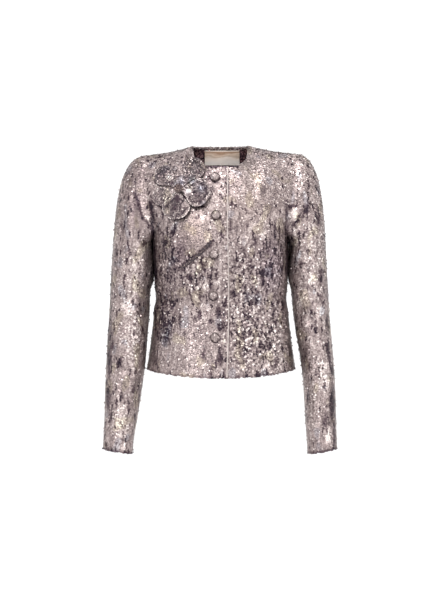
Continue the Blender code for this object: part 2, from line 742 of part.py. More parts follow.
def make_sleeves():
    """Upper and under sleeve on each side, parted at the fore-arm and hind-arm seams."""
    for side, sign in (("left", 1), ("right", -1)):
        grid, share = sleeve_grid(side)
        grid = grid - sleeve_fold_depth(side, grid, share)[..., None] * ring_normals(grid)
        normals = ring_normals(grid)
        fore = int(np.argmin(np.abs(share - FORE_SEAM_SHARE)))
        hind = int(np.argmin(np.abs(share - HIND_SEAM_SHARE)))
        count = len(share)
        parts = (
            ("under", np.arange(fore, hind + 1), "under sleeve cloth"),
            ("upper", np.arange(hind, fore + count + 1) % count, "sequin cloth"),
        )
        for part, columns, colour in parts:
            if sign > 0:
                columns = columns[::-1]
            piece = mirrored(grid[:, columns], sign)
            piece_normals = mirrored(normals[:, columns], sign)
            name = f"sleeve_{side}_{part}"
            cloth_panel(name, piece, piece_normals, ("first", "last"), colour)


class Drape:
    """Finds points of a panel's outer face from the front or from behind.

    Each panel is carried on a little past its top and bottom, for what stands over an edge.
    """

    def __init__(self, grids, look):
        vertices = []
        faces = []
        for grid in grids:
            beyond = grid[-1:] + PAST_EDGE * np.array(PAST_TOP)
            below = grid[:1] + PAST_EDGE * np.array(PAST_BOTTOM)
            grid = np.concatenate((below, grid, beyond), axis=0)
            rows, columns = grid.shape[:2]
            base = len(vertices)
            vertices += [Vector(p) for p in grid.reshape(-1, 3)]
            for row in range(rows - 1):
                for column in range(columns - 1):
                    a = base + row * columns + column
                    faces.append((a, a + 1, a + columns + 1))
                    faces.append((a, a + columns + 1, a + columns))
        self.tree = BVHTree.FromPolygons(vertices, faces)
        self.look = look

    def hit(self, x, z):
        start = Vector((x, -RAY_START * self.look, z))
        place = self.tree.ray_cast(start, Vector((0, self.look, 0)))[0]
        return np.array(place)

    def at(self, x, z, reach=NORMAL_REACH):
        """The point at x and z, and the outward normal over a small patch round it."""
        across = self.hit(x + reach, z) - self.hit(x - reach, z)
        up = self.hit(x, z + reach) - self.hit(x, z - reach)
        normal = np.cross(across, up) * self.look
        return self.hit(x, z), unit(normal)


def disc_faces(around, rings):
    """Faces of a disc solid: a centre point and rings on top, and the same below."""
    half = 1 + around * rings
    faces = []

    def index(ring, step, lower):
        return lower * half + 1 + (ring - 1) * around + step % around

    for step in range(around):
        faces.append((0, index(1, step, 0), index(1, step + 1, 0)))
        faces.append((half, index(1, step + 1, 1), index(1, step, 1)))
        for ring in range(1, rings):
            a = index(ring, step, 0)
            b = index(ring + 1, step, 0)
            c = index(ring + 1, step + 1, 0)
            d = index(ring, step + 1, 0)
            faces.append((a, b, c, d))
            faces.append((d + half, c + half, b + half, a + half))
        a = index(rings, step, 0)
        b = index(rings, step + 1, 0)
        faces.append((b, a, a + half, b + half))
    return faces


def disc_on_panel(name, drape, outline, height, thickness, colour, around, rings):
    """A disc solid over a panel. The outline gives x and z, and the height its lift."""
    top = []
    bottom = []
    places = [(0.0, 0.0)]
    for ring in range(1, rings + 1):
        places += [(ring / rings, step / around) for step in range(around)]
    for radius, share in places:
        x, z = outline(radius, share)
        point, normal = drape.at(x, z)
        lift = height(radius, share)
        bottom.append(point + normal * lift)
        top.append(point + normal * (lift + thickness(radius)))
    return new_object(name, top + bottom, disc_faces(around, rings), colour)


def make_petal(drape, name, angle, distance, radii, lift, rise):
    """A cupped petal, pointed at the flower's middle and raised at its outer rim."""
    out = math.radians(angle)
    direction = np.array((math.cos(out), math.sin(out)))
    sideways = np.array((-direction[1], direction[0]))
    middle = np.array(FLOWER_CENTRE) + distance * direction
    length, breadth = radii
    tail = distance - PETAL_ROOT - length

    def outline(size, share):
        turn = 2 * math.pi * share
        inward = max(0.0, -math.cos(turn))
        along = (length + tail * inward ** PETAL_POINT_POWER) * math.cos(turn)
        across = breadth * math.sin(turn) * (1 - PETAL_WAIST * inward ** 2)
        return middle + size * (along * direction + across * sideways)

    def height(size, share):
        outward = 0.5 + 0.5 * math.cos(2 * math.pi * share)
        return lift + rise * size ** RIM_RISE_POWER * outward ** RIM_SPREAD_POWER

    disc_on_panel(name, drape, outline, height, lambda size: PETAL_WALL, "petal cloth",
                  PETAL_AROUND, PETAL_RINGS)


def make_flower(drape):
    """Five petals, and a beaded middle sewn through to the panel between their roots."""
    for name, angle, distance, length, breadth, lift, rise in PETALS:
        make_petal(drape, name, angle, distance, (length, breadth), lift, rise)

    def outline(size, share):
        turn = 2 * math.pi * share
        reach = size * FLOWER_CENTRE_RADIUS
        return np.array(FLOWER_CENTRE) + reach * np.array((math.cos(turn), math.sin(turn)))

    def underside(size, share):
        return LAY_GAP if size < FLOWER_STEM_SIZE else FLOWER_CENTRE_LIFT

    def thickness(size):
        rise = FLOWER_CENTRE_RISE * (1 - size * size)
        return FLOWER_CENTRE_LIFT + FLOWER_CENTRE_WALL + rise - underside(size, 0)

    disc_on_panel("flower_centre", drape, outline, underside, thickness, "bead",
                  FLOWER_CENTRE_AROUND, FLOWER_CENTRE_RINGS)


def make_beaded_line(drape):
    """A low rounded strip, bowed a little downward."""
    start = np.array(LINE_START)
    run = np.array(LINE_END) - start
    length = np.linalg.norm(run)
    sideways = np.array((-run[1], run[0])) / length
    outer = []
    inner = []
    for step in range(LINE_STEPS + 1):
        share = step / LINE_STEPS
        taper = min(1.0, LINE_END_WIDTH + LINE_TAPER * math.sin(math.pi * share))
        middle = start + share * run + LINE_BOW * math.sin(math.pi * share) * sideways
        outer_row = []
        inner_row = []
        for across, up in LINE_PROFILE:
            x, z = middle + across * LINE_WIDTH * taper * sideways
            point, normal = drape.at(x, z)
            inner_row.append(point + normal * LAY_GAP)
            rise = LINE_BASE + (LINE_HEIGHT - LINE_BASE) * up * taper
            outer_row.append(point + normal * (LAY_GAP + rise))
        outer.append(outer_row[::-1])
        inner.append(inner_row[::-1])
    wall("beaded_line", np.array(outer), np.array(inner), "bead")


def make_button(drape, index, x, z):
    """A covered dome on a short neck, turned about its own axis and set on the panel."""
    point, normal = drape.at(x, z)
    profile = [(0.0, BUTTON_HEIGHT)]
    dome = BUTTON_HEIGHT - BUTTON_RIM_HEIGHT
    for step in range(1, BUTTON_DOME_STEPS + 1):
        turn = math.radians(90 * step / BUTTON_DOME_STEPS)
        radius = BUTTON_RADIUS * math.sin(turn)
        profile.append((radius, BUTTON_RIM_HEIGHT + dome * math.cos(turn)))
    profile.append((BUTTON_BASE_RADIUS, BUTTON_NECK_HEIGHT))
    profile.append((BUTTON_BASE_RADIUS, 0.0))
    profile.append((0.0, 0.0))
    mesh = bpy.data.meshes.new(f"button_{index}")
    points = [(MM * r, 0.0, MM * h) for r, h in profile]
    mesh.from_pydata(points, [(i, i + 1) for i in range(len(points) - 1)], [])
    mesh.materials.append(material("button cover"))
    made = bpy.data.objects.new(f"button_{index}", mesh)
    bpy.data.collections[OBJECT_NAME].objects.link(made)
    turned = made.modifiers.new("turned", "SCREW")
    turned.axis = "Z"
    turned.steps = BUTTON_AROUND
    turned.render_steps = BUTTON_AROUND
    turned.use_merge_vertices = True
    turned.merge_threshold = 0.00001
    turned.use_smooth_shade = True
    made.location = Vector(point + normal * LAY_GAP) * MM
    made.rotation_mode = "QUATERNION"
    made.rotation_quaternion = Vector(normal).to_track_quat("Z", "Y")


def make_facing_and_label(backs):
    """The facing inside the back neck, and the label sewn on it."""
    (left, left_normals), (right, right_normals) = backs
    neck = slice(SHOULDER_COLUMNS + 1, None)
    mirror_neck = slice(1, NECK_COLUMNS)
    grid = np.concatenate((left[:, neck], right[:, mirror_neck]), axis=1)[-FACING_ROWS:]
    normals = np.concatenate((left_normals[:, neck], right_normals[:, mirror_neck]), axis=1)
    normals = normals[-FACING_ROWS:]
    outer = grid - (WALL + LAY_GAP) * normals
    inner = outer - FACING_WALL * normals
    wall("neck_facing", outer, inner, "facing cloth")

    drape = Drape([inner], -1)
    places = np.linspace(LABEL_BOX["right"], LABEL_BOX["left"], LABEL_COLUMNS)
    outer = []
    inner = []
    for z in np.linspace(LABEL_BOX["bottom"], LABEL_BOX["top"], LABEL_ROWS):
        found = [drape.at(x, z, LABEL_NORMAL_REACH) for x in places]
        outer.append([point - normal * LABEL_GAP for point, normal in found])
        inner.append([point - normal * (LABEL_GAP + LABEL_WALL) for point, normal in found])
    wall("label", np.array(outer), np.array(inner), "label satin")


def main():
    clear_scene()
    collection = bpy.data.collections.new(OBJECT_NAME)
    bpy.context.scene.collection.children.link(collection)
    right, band = make_fronts()
    backs = make_backs()
    make_sides()
    make_sleeves()
    drape = Drape([right, band], 1)
    make_flower(drape)
    make_beaded_line(drape)
    for index, (x, z) in enumerate(BUTTONS, start=1):
        make_button(drape, index, x, z)
    make_facing_and_label(backs)


main()
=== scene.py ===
"""The looks of a jacket sewn all over with sequins, buttoned and filled out with no wearer.

The cloth shells repeat the sections of the CAD part on a finer grid, so each one lies where its
solid lies. Sequins are then sewn on every shell in staggered lines, as one joined mesh for each
panel. Sizes are in millimetres and become metres when a mesh is made. +Z is up, the front faces
-Y and the wearer's left is +X.
"""
import math

import bpy
import numpy as np
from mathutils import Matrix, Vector, noise
from mathutils.bvhtree import BVHTree


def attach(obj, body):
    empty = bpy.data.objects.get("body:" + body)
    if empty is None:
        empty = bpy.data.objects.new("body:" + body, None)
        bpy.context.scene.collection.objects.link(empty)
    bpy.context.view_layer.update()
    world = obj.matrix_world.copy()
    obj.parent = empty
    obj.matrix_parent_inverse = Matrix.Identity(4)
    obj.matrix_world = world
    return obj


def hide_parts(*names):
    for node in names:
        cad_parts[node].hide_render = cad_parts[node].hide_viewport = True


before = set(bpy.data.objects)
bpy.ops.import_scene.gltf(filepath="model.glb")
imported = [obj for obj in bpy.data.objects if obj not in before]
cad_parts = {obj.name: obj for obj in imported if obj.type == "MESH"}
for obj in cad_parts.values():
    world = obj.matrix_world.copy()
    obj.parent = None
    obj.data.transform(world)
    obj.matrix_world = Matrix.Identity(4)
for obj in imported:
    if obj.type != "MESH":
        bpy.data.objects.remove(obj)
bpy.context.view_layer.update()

MM = 0.001
BODY = "root"

# Cloth
WALL = 2.0
SEAM_GAP = 0.3
LAY_GAP = 0.4

# Neck and shoulders
NECK_HALF_WIDTH = 61.0
NECK_SIDE_Y = 3.0
NECK_SIDE_Z = 11.0
NECK_FRONT_Y = -70.0
NECK_FRONT_Z = -39.5
NECK_BACK_Y = 60.0
NECK_BACK_Z = 13.8
SHOULDER_TIP = (165.0, 4.0, -9.0)
SHOULDER_HOLLOW = 0.60
LEFT_SHOULDER_LIFT = 3.5
SEAM_REACH = 2.0
NECK_TURN_POWER = 1.36
NECK_FRONT_POWER = 0.625
NECK_BACK_WIDTH_POWER = 0.72
NECK_BACK_DEPTH_POWER = 0.85
FRONT_NECK_SHARE = 0.42
BACK_NECK_SHARE = 0.40

# How the cloth runs from the chest and the shoulder blades up to the neck and shoulders.
# Directions are x, y, z, and pulls are shares of the distance that is bridged.
SLOPE_STEP = 6.0
FLARE_POWER = 4
FRONT_FLARE = (0.30, -0.27, 0.0)
BACK_FLARE = (0.30, 0.22, 0.0)
FRONT_CENTRE_ARRIVAL = (0.0, 0.42, 0.90)
BACK_CENTRE_ARRIVAL = (0.0, -0.30, 0.95)
NECK_CORNER_LEAN = -0.55
LEAN_FADE = 1.6
ARMHOLE_SHARE = 0.55
LEAVE_PULL = 1.10
LEAVE_PULL_LOSS = 0.15
ARRIVE_PULL = 0.75
ARRIVE_PULL_LOSS = 0.20

# Body
JUNCTION_Z = -165.0
UNDERARM_Z = -196.0
UNDERARM_ROUNDNESS = 0.8
HEM_SIDE_Z = -477.0
HEM_FRONT_Z = -492.5
HEM_BACK_Z = -486.0
SECTION_POWER = 0.85
LEFT_EASE = 3.0
LEFT_EASE_HEIGHT = 60.0
FRONT_SEAM_ANGLE = 65.0
BACK_SEAM_ANGLE = 116.0

BODY_SECTIONS = {
    "height": (-500, -480, -461, -421, -395, -368, -329, -300, -260, -215, -165),
    "half_width": (162.5, 161, 158, 152.5, 149.5, 146, 142, 143.2, 145.0, 147.3, 152),
    "front_depth": (120, 117, 114, 108, 104, 101, 99, 103, 112, 119, 113),
    "back_depth": (114, 112, 109, 102, 97, 92, 87, 88, 93, 99, 104),
}

# Front closing. The right front laps over the left one.
EDGE_LINE = {"height": (-493, -327, -165), "x": (13.5, 17.5, 14.5)}
BAND_WIDTH = 11.5
UNDERLAP = 38.0
UNDERLAP_CLEAR = 1.0
UNDERLAP_EASE = 9.0

# Sleeves, one row of sections for each side, outer and inner edges measured from the centre
BICEP_Z = -215.0
BICEP_STEP = 10.0
SLEEVE_HEIGHTS = (-215, -260, -282, -302, -355, -408, -461, -527, -580, -632, -660)
SLEEVES = {
    "left": {
        "cap_leave": 0.72,
        "cap_arrive": 1.50,
        "cap_drop": 0.0,
        "outer": (231, 233, 234.5, 236, 238.5, 243, 247, 250.5, 251.5, 253, 253.5),
        "inner": (150.4, 149, 150, 155.5, 160.5, 168, 177, 183.2, 185.5, 189, 190),
    },
    "right": {
        "cap_leave": 0.85,
        "cap_arrive": 1.10,
        "cap_drop": 0.06,
        "outer": (236, 239, 240, 241, 243.5, 247, 249, 251.5, 252.5, 254.5, 255.5),
        "inner": (149, 146.6, 147, 154.5, 156.5, 161, 165, 173.5, 181.5, 190, 192.5),
    },
}
SLEEVE_DEPTH = {
    "height": (-215, -302, -408, -527, -660),
    "half_depth": (57, 54, 49, 43, 36),
    "centre_y": (1, 1, -6, -21, -38),
}
CUFF_OUTER_Z = -649.0
CUFF_INNER_Z = -660.0
CAP_SPREAD = 0.12
CAP_DROP_UNDER = 0.56
SLEEVE_GIRTH = 310.0
FORE_SEAM_SHARE = 0.30
HIND_SEAM_SHARE = 0.67

# Largest folds. Depth is positive for a trough and negative for a ridge, and falls off to the
# end share toward the fold's ends.
FOLD_END_SHARE = 0.45
BODY_FOLDS = (
    # face, from x, from z, to x, to z, width, depth
    ("front", -150, -345, -96, -352, 15, -4.0),
    ("front", -148, -322, -92, -334, 13, 3.0),
    ("front", 146, -318, 98, -336, 13, 2.6),
    ("front", 148, -350, 104, -352, 15, -2.4),
    ("front", -118, -395, -106, -478, 20, 3.0),
    ("front", 84, -400, 96, -484, 22, 3.0),
    ("front", -130, -120, -92, -176, 15, 2.6),
    ("front", 132, -112, 96, -170, 15, 2.2),
    ("back", -132, -316, -78, -338, 15, 3.4),
    ("back", 136, -320, 84, -336, 15, 3.0),
    ("back", -130, -118, -96, -182, 17, 3.0),
    ("back", 130, -124, 98, -176, 17, 2.6),
    ("back", -70, -398, -80, -480, 22, 3.0),
    ("back", 62, -392, 74, -482, 22, 3.4),
)
SLEEVE_FOLDS = (
    # side, from share round the arm, from z, to share, to z, width, depth
    ("right", 0.14, -72, 0.34, -170, 12, 4.5),
    ("right", 0.36, -300, 0.14, -345, 13, 3.2),
    ("right", 0.42, -352, 0.20, -388, 12, 2.8),
    ("right", 0.30, -470, 0.12, -500, 13, 2.4),
    ("right", 0.66, -100, 0.86, -180, 15, 3.6),
    ("right", 0.62, -345, 0.84, -375, 14, 3.2),
    ("left", 0.12, -112, 0.33, -168, 12, 4.0),
    ("left", 0.37, -285, 0.16, -330, 13, 2.8),
    ("left", 0.41, -350, 0.15, -398, 13, 3.0),
    ("left", 0.28, -455, 0.10, -490, 14, 2.4),
    ("left", 0.66, -96, 0.86, -176, 15, 3.6),
    ("left", 0.63, -335, 0.85, -372, 14, 3.2),
)

# Neck facing and label
FACING_WALL = 1.2
LABEL_COLUMNS = 13
LABEL_ROWS = 7
LABEL_GAP = 0.6
LABEL_WALL = 1.0
LABEL_BOX = {"left": -35.2, "right": 42.6, "bottom": -25.0, "top": 6.5}

# Buttons
BUTTON_RADIUS = 9.4
BUTTON_HEIGHT = 7.0
BUTTON_BASE_RADIUS = 6.2
BUTTON_RIM_HEIGHT = 2.4
BUTTON_NECK_HEIGHT = 0.9
BUTTON_AROUND = 40
BUTTON_DOME_STEPS = 12
BUTTON_AXIS_RADIUS = 0.01
BUTTON_ROLL = {"radius": 0.97, "height": 0.6}
BUTTONS = (
    # x, z
    (-11.8, -62.0),
    (-9.8, -145.5),
    (-14.0, -229.5),
    (-15.2, -318.0),
    (-11.6, -407.5),
)

# Flower sewn on the wearer's right chest
FLOWER_CENTRE = (-88.4, -89.5)
PETAL_WALL = 1.6
PETAL_ROOT = 7.0
PETAL_WAIST = 0.55
PETAL_POINT_POWER = 6
RIM_RISE_POWER = 3
RIM_SPREAD_POWER = 0.8
PETALS = (
    # name, angle from +X, distance to its middle, length and breadth radii, lift, rim's rise
    ("petal_1", 137.0, 41.5, 21.0, 21.0, 1.0, 7.0),
    ("petal_2", 201.5, 37.0, 21.5, 19.5, 1.0, 2.6),
    ("petal_3", 264.0, 39.5, 25.0, 28.0, 3.0, 5.0),
    ("petal_4", 346.0, 41.0, 26.0, 29.5, 5.0, 6.0),
    ("petal_5", 56.5, 54.0, 26.0, 25.0, 1.0, 4.5),
)
FLOWER_CENTRE_RADIUS = 9.0
FLOWER_CENTRE_LIFT = 7.0
FLOWER_CENTRE_RISE = 3.0
MOUND_WALL = 1.0
MOUND_DROP = 1.2

# Beaded line below the flower
LINE_START = (-20.5, -204.0)
LINE_END = (-85.0, -259.0)
LINE_BOW = 3.0
LINE_WIDTH = 7.0
LINE_HEIGHT = 2.6
LINE_BASE = 0.5
LINE_STEPS = 56
LINE_END_WIDTH = 0.45
LINE_TAPER = 2.2
LINE_PROFILE = (
    # share across, share up
    (-0.5, 0.0),
    (-0.36, 0.75),
    (0.0, 1.0),
    (0.36, 0.75),
    (0.5, 0.0),
)

# Grid counts. A panel has FINE times as many rows and columns as its solid.
FINE = 3
LOWER_ROWS = 13 * FINE
UPPER_ROWS = 9 * FINE
NECK_COLUMNS = 6 * FINE
SHOULDER_COLUMNS = 5 * FINE
UNDERLAP_COLUMNS = 2 * FINE
BAND_COLUMNS = 2 * FINE
SIDE_COLUMNS = 6 * FINE
CAP_ROWS = 6 * FINE
ARM_ROWS = 17 * FINE
FACING_ROWS = 4 * FINE
PETAL_AROUND = 56
PETAL_RINGS = 12
MOUND_AROUND = 24
MOUND_RINGS = 5

# Meshes. Normals are taken over a patch of the reach given here.
SHARP_ANGLE = 50.0
RAY_START = 1000.0
NORMAL_REACH = 4.0
LABEL_NORMAL_REACH = 2.0
PAST_EDGE = 24.0
PAST_TOP = (0.0, 0.35, 1.0)
PAST_BOTTOM = (0.0, 0.0, -1.0)
TINY = 1e-6
BAKE_CELL_SHARE = 0.4

# Sequins. A tone runs from 0, darkest, to 1, palest.
SEQUIN_SIDES = 6
SEQUIN_RADIUS = (1.45, 2.05)
COARSE_GROWTH = 3.2
SEQUIN_PITCH = 2.75
LINE_SHARE = 0.90
STAGGER = (0.25, 0.75)
WANDER = 0.34
SEQUIN_LIFT = (0.35, 1.15)
SEQUIN_HANG = 0.14
SEQUIN_TILT = 0.08
LOOSE_SHARE = 0.03
LOOSE_LIFT = 1.2
LOOSE_TILT = 0.5
GRAIN_TILT = 0.9
TONE_STOPS = {
    "tone": (0.0, 0.14, 0.30, 0.50, 0.66, 0.84, 1.0),
    "red": (0.018, 0.046, 0.108, 0.248, 0.378, 0.590, 0.940),
    "green": (0.009, 0.024, 0.073, 0.193, 0.302, 0.495, 0.850),
    "blue": (0.018, 0.034, 0.082, 0.189, 0.293, 0.476, 0.810),
}
BLUE_TINT = (0.91, 0.98, 1.05)
BLUE_FROM = 0.42
OLIVE_TINT = (1.00, 1.01, 0.91)
OLIVE_FROM = -0.30
TINT_EDGE = 0.12
NOISES = {
    # name: size along x, y and z, and a shift that gives it a pattern of its own
    "drift": ((26.0, 26.0, 60.0), 11.3),
    "streak": ((6.0, 6.0, 24.0), 3.7),
    "fleck": ((3.6, 3.6, 7.0), 7.9),
    "dash": ((5.3, 5.3, 19.0), 23.1),
    "tint": ((22.0, 22.0, 34.0), 41.7),
    "petal": ((5.0, 5.0, 5.0), 5.1),
}
BASE_TONE = 0.635
DRIFT = 0.07
STREAK = 0.17
FLECK = 0.18
DASH_DROP = 0.46
DASH_LEVEL = 0.36
DASH_EDGE = 0.05
GRAIN = 0.06
LEAST_GRAIN = GRAIN / 3
SPARKLE_SHARE = 0.02
SPARKLE_RISE = 0.36
BACK_SHIFT = (14.0, -22.0)
BACK_FROM_Y = 12.0

TINT_PATCHES = (
    # x, z, half width, half height, red, green, blue
    (-62, -70, 9, 9, 0.80, 0.93, 1.10),
    (-42, -88, 10, 10, 0.80, 0.93, 1.10),
    (-84, -74, 6, 6, 0.78, 0.93, 1.14),
    (-69, -93, 8, 8, 0.94, 1.00, 1.08),
    (-118, -403, 10, 16, 0.86, 0.98, 1.05),
    (-57, -177, 28, 34, 1.02, 1.00, 0.94),
    (70, -120, 60, 60, 1.01, 0.99, 0.97),
    (113, -252, 26, 60, 0.98, 0.95, 1.03),
    (-84, -222, 16, 34, 1.00, 0.96, 1.02),
)
# Soft patches: mostly the jacket's own mottled zones, and some painted light and shade, such as the
# lightened inner edges of the sleeves, the darkened armholes and the darkened top of the wearer's
# right sleeve.
PATTERN_AND_LIGHT_AREAS = (
    # x, z, half width, half height, change of tone, more grain, more dashes
    (-110, -246, 36, 86, -0.20, 0.05, 0.20),
    (-120, -370, 26, 58, -0.185, 0.06, 0.14),
    (-146, -300, 7, 190, -0.10, 0.0, 0.05),
    (-57, -177, 28, 33, -0.09, -0.045, -0.50),
    (-80, -218, 14, 26, -0.10, 0.0, -0.30),
    (-76, -450, 52, 48, 0.01, 0.0, -0.36),
    (-48, -270, 40, 50, -0.03, 0.07, 0.22),
    (-118, -403, 13, 22, -0.14, 0.05, 0.10),
    (89, -71, 62, 64, 0.045, 0.005, -0.25),
    (28, -54, 22, 26, -0.14, 0.0, 0.0),
    (70, -156, 52, 40, 0.02, 0.005, -0.10),
    (125, -199, 20, 44, -0.08, 0.0, 0.20),
    (113, -252, 28, 54, -0.045, 0.08, 0.18),
    (52, -308, 40, 116, -0.115, 0.12, 0.08),
    (70, -424, 52, 68, -0.125, 0.10, 0.04),
    (117, -378, 25, 50, -0.03, 0.08, 0.14),
    (122, -446, 28, 40, 0.03, 0.06, 0.06),
    (-202, -60, 10, 24, -0.12, 0.0, 0.05),
    (-188, -150, 22, 46, -0.12, -0.01, -0.20),
    (-194, -272, 26, 60, 0.08, 0.02, 0.0),
    (-182, -84, 24, 50, -0.15, 0.0, 0.05),
    (-192, -410, 18, 60, 0.10, 0.10, -0.20),
    (-206, -345, 14, 20, 0.14, 0.03, -0.30),
    (-181, -345, 8, 26, -0.24, 0.02, 0.10),
    (-163, -400, 10, 60, 0.12, 0.0, 0.0),
    (170, -330, 10, 70, 0.10, 0.0, 0.0),
    (-244, -395, 7, 30, -0.20, 0.0, 0.10),
    (-218, -600, 14, 60, 0.11, 0.07, -0.10),
    (-243, -300, 6, 100, -0.12, 0.0, 0.10),
    (155, -205, 8, 40, -0.20, 0.0, 0.0),
    (178, -66, 14, 22, 0.06, 0.06, -0.10),
    (196, -240, 26, 40, 0.06, 0.0, -0.20),
    (228, -495, 12, 36, 0.16, 0.08, -0.20),
    (207, -585, 15, 64, 0.04, 0.0, -0.20),
    (200, -190, 50, 150, -0.01, 0.035, 0.05),
    (222, -480, 44, 150, 0.02, 0.01, 0.0),
    (9, -180, 7, 150, -0.05, 0.05, 0.0),
    (9, -400, 7, 100, -0.06, 0.06, 0.08),
    (-5, -165, 8, 22, 0.0, 0.0, -0.60),
    (-19, -66, 20, 30, -0.12, 0.02, 0.10),
)
# Small marks: most are the jacket's own dark and pale sequins, and some are painted light and shade,
# such as the pale highlight streaks on the sleeves and their darkened outer edges.
PATTERN_AND_LIGHT_MARKS = (
    # x, z, half width, half height, change of tone
    (-217, -158, 3, 30, -0.26), (-229, -223, 4, 11, -0.30), (-179, -270, 3, 13, -0.35),
    (-192, -331, 3, 14, -0.30), (-160, -145, 5, 5, 0.30), (-169, -231, 5, 36, 0.20),
    (-237, -426, 3, 10, -0.45), (-245, -458, 6, 38, -0.42), (-220, -463, 4, 12, -0.35),
    (-217, -536, 5, 15, -0.35), (-247, -540, 6, 26, -0.40), (-242, -584, 4, 13, -0.35),
    (-204, -558, 3, 22, -0.26), (163, -136, 6, 15, 0.34), (199, -165, 7, 10, 0.28),
    (215, -143, 5, 20, -0.38), (192, -81, 3, 11, -0.35), (177, -250, 5, 10, -0.40),
    (220, -272, 5, 21, -0.42), (201, -283, 9, 17, 0.28), (219, -322, 3, 10, -0.35),
    (172, -333, 5, 12, 0.22), (219, -353, 8, 15, 0.30), (235, -375, 4, 19, -0.40),
    (209, -388, 3, 22, -0.30), (187, -452, 4, 18, -0.24), (246, -553, 6, 42, -0.45),
    (231, -590, 8, 18, -0.34), (237, -624, 7, 22, 0.28), (250, -621, 3, 36, -0.35),
    (193, -543, 3, 20, -0.30), (-98, -210, 2, 27, 0.18), (-127, -248, 5, 20, 0.20),
    (-25, -172, 3, 3, -0.40), (2, -179, 3, 10, -0.50), (-53, -147, 4, 3, -0.30),
    (-37, -252, 4, 10, -0.45), (-45, -268, 3, 10, -0.40), (-22, -292, 4, 14, -0.42),
    (-65, -276, 3, 12, -0.36), (-44, -304, 4, 7, -0.36), (-33, -299, 8, 9, 0.24),
    (-6, -285, 5, 13, 0.22), (-94, -284, 4, 10, 0.22), (-39, -145, 4, 9, 0.24),
    (-127, -360, 4, 16, -0.40), (-107, -339, 3, 10, -0.35), (-89, -369, 4, 14, -0.42),
    (-54, -369, 3, 7, -0.36), (-44, -396, 2, 12, -0.36), (-48, -337, 3, 8, -0.36),
    (-22, -373, 6, 6, -0.46), (-3, -353, 6, 14, -0.46), (5, -382, 4, 14, -0.50),
    (-37, -449, 5, 14, -0.46), (-1, -454, 7, 19, -0.50), (-20, -484, 5, 12, -0.36),
    (17, -82, 4, 15, -0.36), (25, -115, 4, 7, -0.40), (22, -162, 3, 18, -0.30),
    (60, -162, 4, 8, -0.32), (94, -80, 9, 14, -0.12), (120, -171, 3, 21, -0.42),
    (129, -175, 3, 15, -0.38), (76, -197, 5, 12, -0.38), (97, -184, 10, 8, 0.26),
    (104, -212, 8, 15, -0.22), (54, -218, 4, 6, -0.34), (43, -278, 4, 12, -0.42),
    (93, -272, 6, 16, -0.44), (112, -256, 3, 12, -0.40), (27, -311, 6, 14, -0.42),
    (54, -309, 4, 15, -0.34), (71, -306, 4, 10, -0.38), (101, -302, 4, 15, -0.40),
    (120, -313, 3, 13, -0.30), (61, -366, 5, 10, -0.40), (116, -363, 3, 18, -0.34),
    (124, -461, 5, 17, -0.38), (60, -417, 5, 10, 0.30), (82, -417, 4, 15, 0.26),
    (50, -476, 7, 7, 0.30), (100, -473, 9, 8, 0.30), (-22, -84, 3, 8, -0.24),
)
# Painted shade along lines: the folds of the sleeves and the body, the armholes, under the label, the
# gaps round the petals and along the beaded line, with one painted highlight on a sleeve fold. Only
# the front is painted.
PAINTED_SHADE_AND_HIGHLIGHT_LINES = (
    # from x, from z, to x, to z, half width, change of tone
    (-190, -91, -171, -146, 3.4, -0.34),
    (-171, -146, -159, -160, 3.4, -0.30),
    (-155, -112, -149, -176, 4.5, -0.45),
    (-149, -176, -142, -278, 4.0, -0.35),
    (-141, -159, -127, -184, 2.5, -0.32),
    (-32, -33, 38, -33, 3.0, -0.50),
    (-99, -98, -95, -98, 6.0, -0.55),
    (-108, -66, -104, -66, 4.0, -0.40),
    (-140, -67, -102, -77, 3.2, -0.45),
    (-76, -104, -60, -120, 3.0, -0.50),
    (-60, -120, -36, -122, 2.6, -0.42),
    (-152, -98, -146, -112, 3.0, -0.45),
    (-146, -112, -128, -124, 3.2, -0.50),
    (-125, -133, -100, -149, 3.8, -0.60),
    (-100, -149, -78, -146, 3.0, -0.40),
    (-152, -118, -146, -156, 3.0, -0.40),
    (-20, -202, -86, -257, 5.5, -0.30),
    (-28, -206, -16, -196, 3.0, -0.30),
    (-16, -196, -9, -203, 2.6, -0.30),
    (-138, -380, -141, -466, 5.0, -0.20),
    (194, -115, 171, -152, 6.5, -0.42),
    (171, -152, 162, -162, 4.0, -0.26),
    (163, -174, 175, -228, 3.5, 0.22),
    (145, -108, 146, -270, 3.5, -0.34),
    (137, -330, 138, -356, 3.5, -0.32),
    (149, -422, 156, -450, 3.0, -0.28),
    (233, -424, 246, -490, 4.0, -0.45),
)
MARK_RAGGEDNESS = 0.9
BUTTON_CALM = 0.6
BUTTON_CALM_REACH = 14.0
# A ring of painted shadow on the cloth round each button, mostly below it.
BUTTON_SHADOW_RING = (10.4, 1.5)
BUTTON_SHADOW_RING_DROP = 0.52
SHADOW_RING_ABOVE = 0.1

# The raw edges at hem and cuffs, where sequins hang past the cloth
EDGE_REACH = 3.4
EDGE_DROP = {"sleeve": 0.40, "body": 0.24}
FRINGE_PITCH = 1.9
FRINGE_HANG = 1.7

# Sequins on the facing and the buttons
SMALL_SEQUIN_RADIUS = (1.5, 2.0)
SMALL_GRAIN = 0.12
FACING_TINT = (1.20, 0.88, 0.95)
FACING_TONES = {"ground": 0.17, "edge": 0.42, "speck": 0.42}
FACING_SPECKS = 0.20
FACING_LIFT = 0.5
FACING_EDGE = 3.0
FACING_TILT = 0.2
BUTTON_SEQUIN_RINGS = 5
BUTTON_SEWN_SHARE = 0.96
BUTTON_SEQUIN_PITCH = 2.6
BUTTON_SEQUIN_LIFT = 0.35
BUTTON_FACE_UP = 1.4
BUTTON_TILT = 0.15
# Painted light and shade over each button's sequins: pale in the middle and toward the top, dark at
# the rim.
BUTTON_PAINTED_SHADING = {
    "wide": (0.0, 0.55, 0.86, 0.95, 1.05),
    "tone": (0.74, 0.70, 0.62, 0.42, 0.20),
}
BUTTON_PAINTED_TOP_LIGHT = 0.10
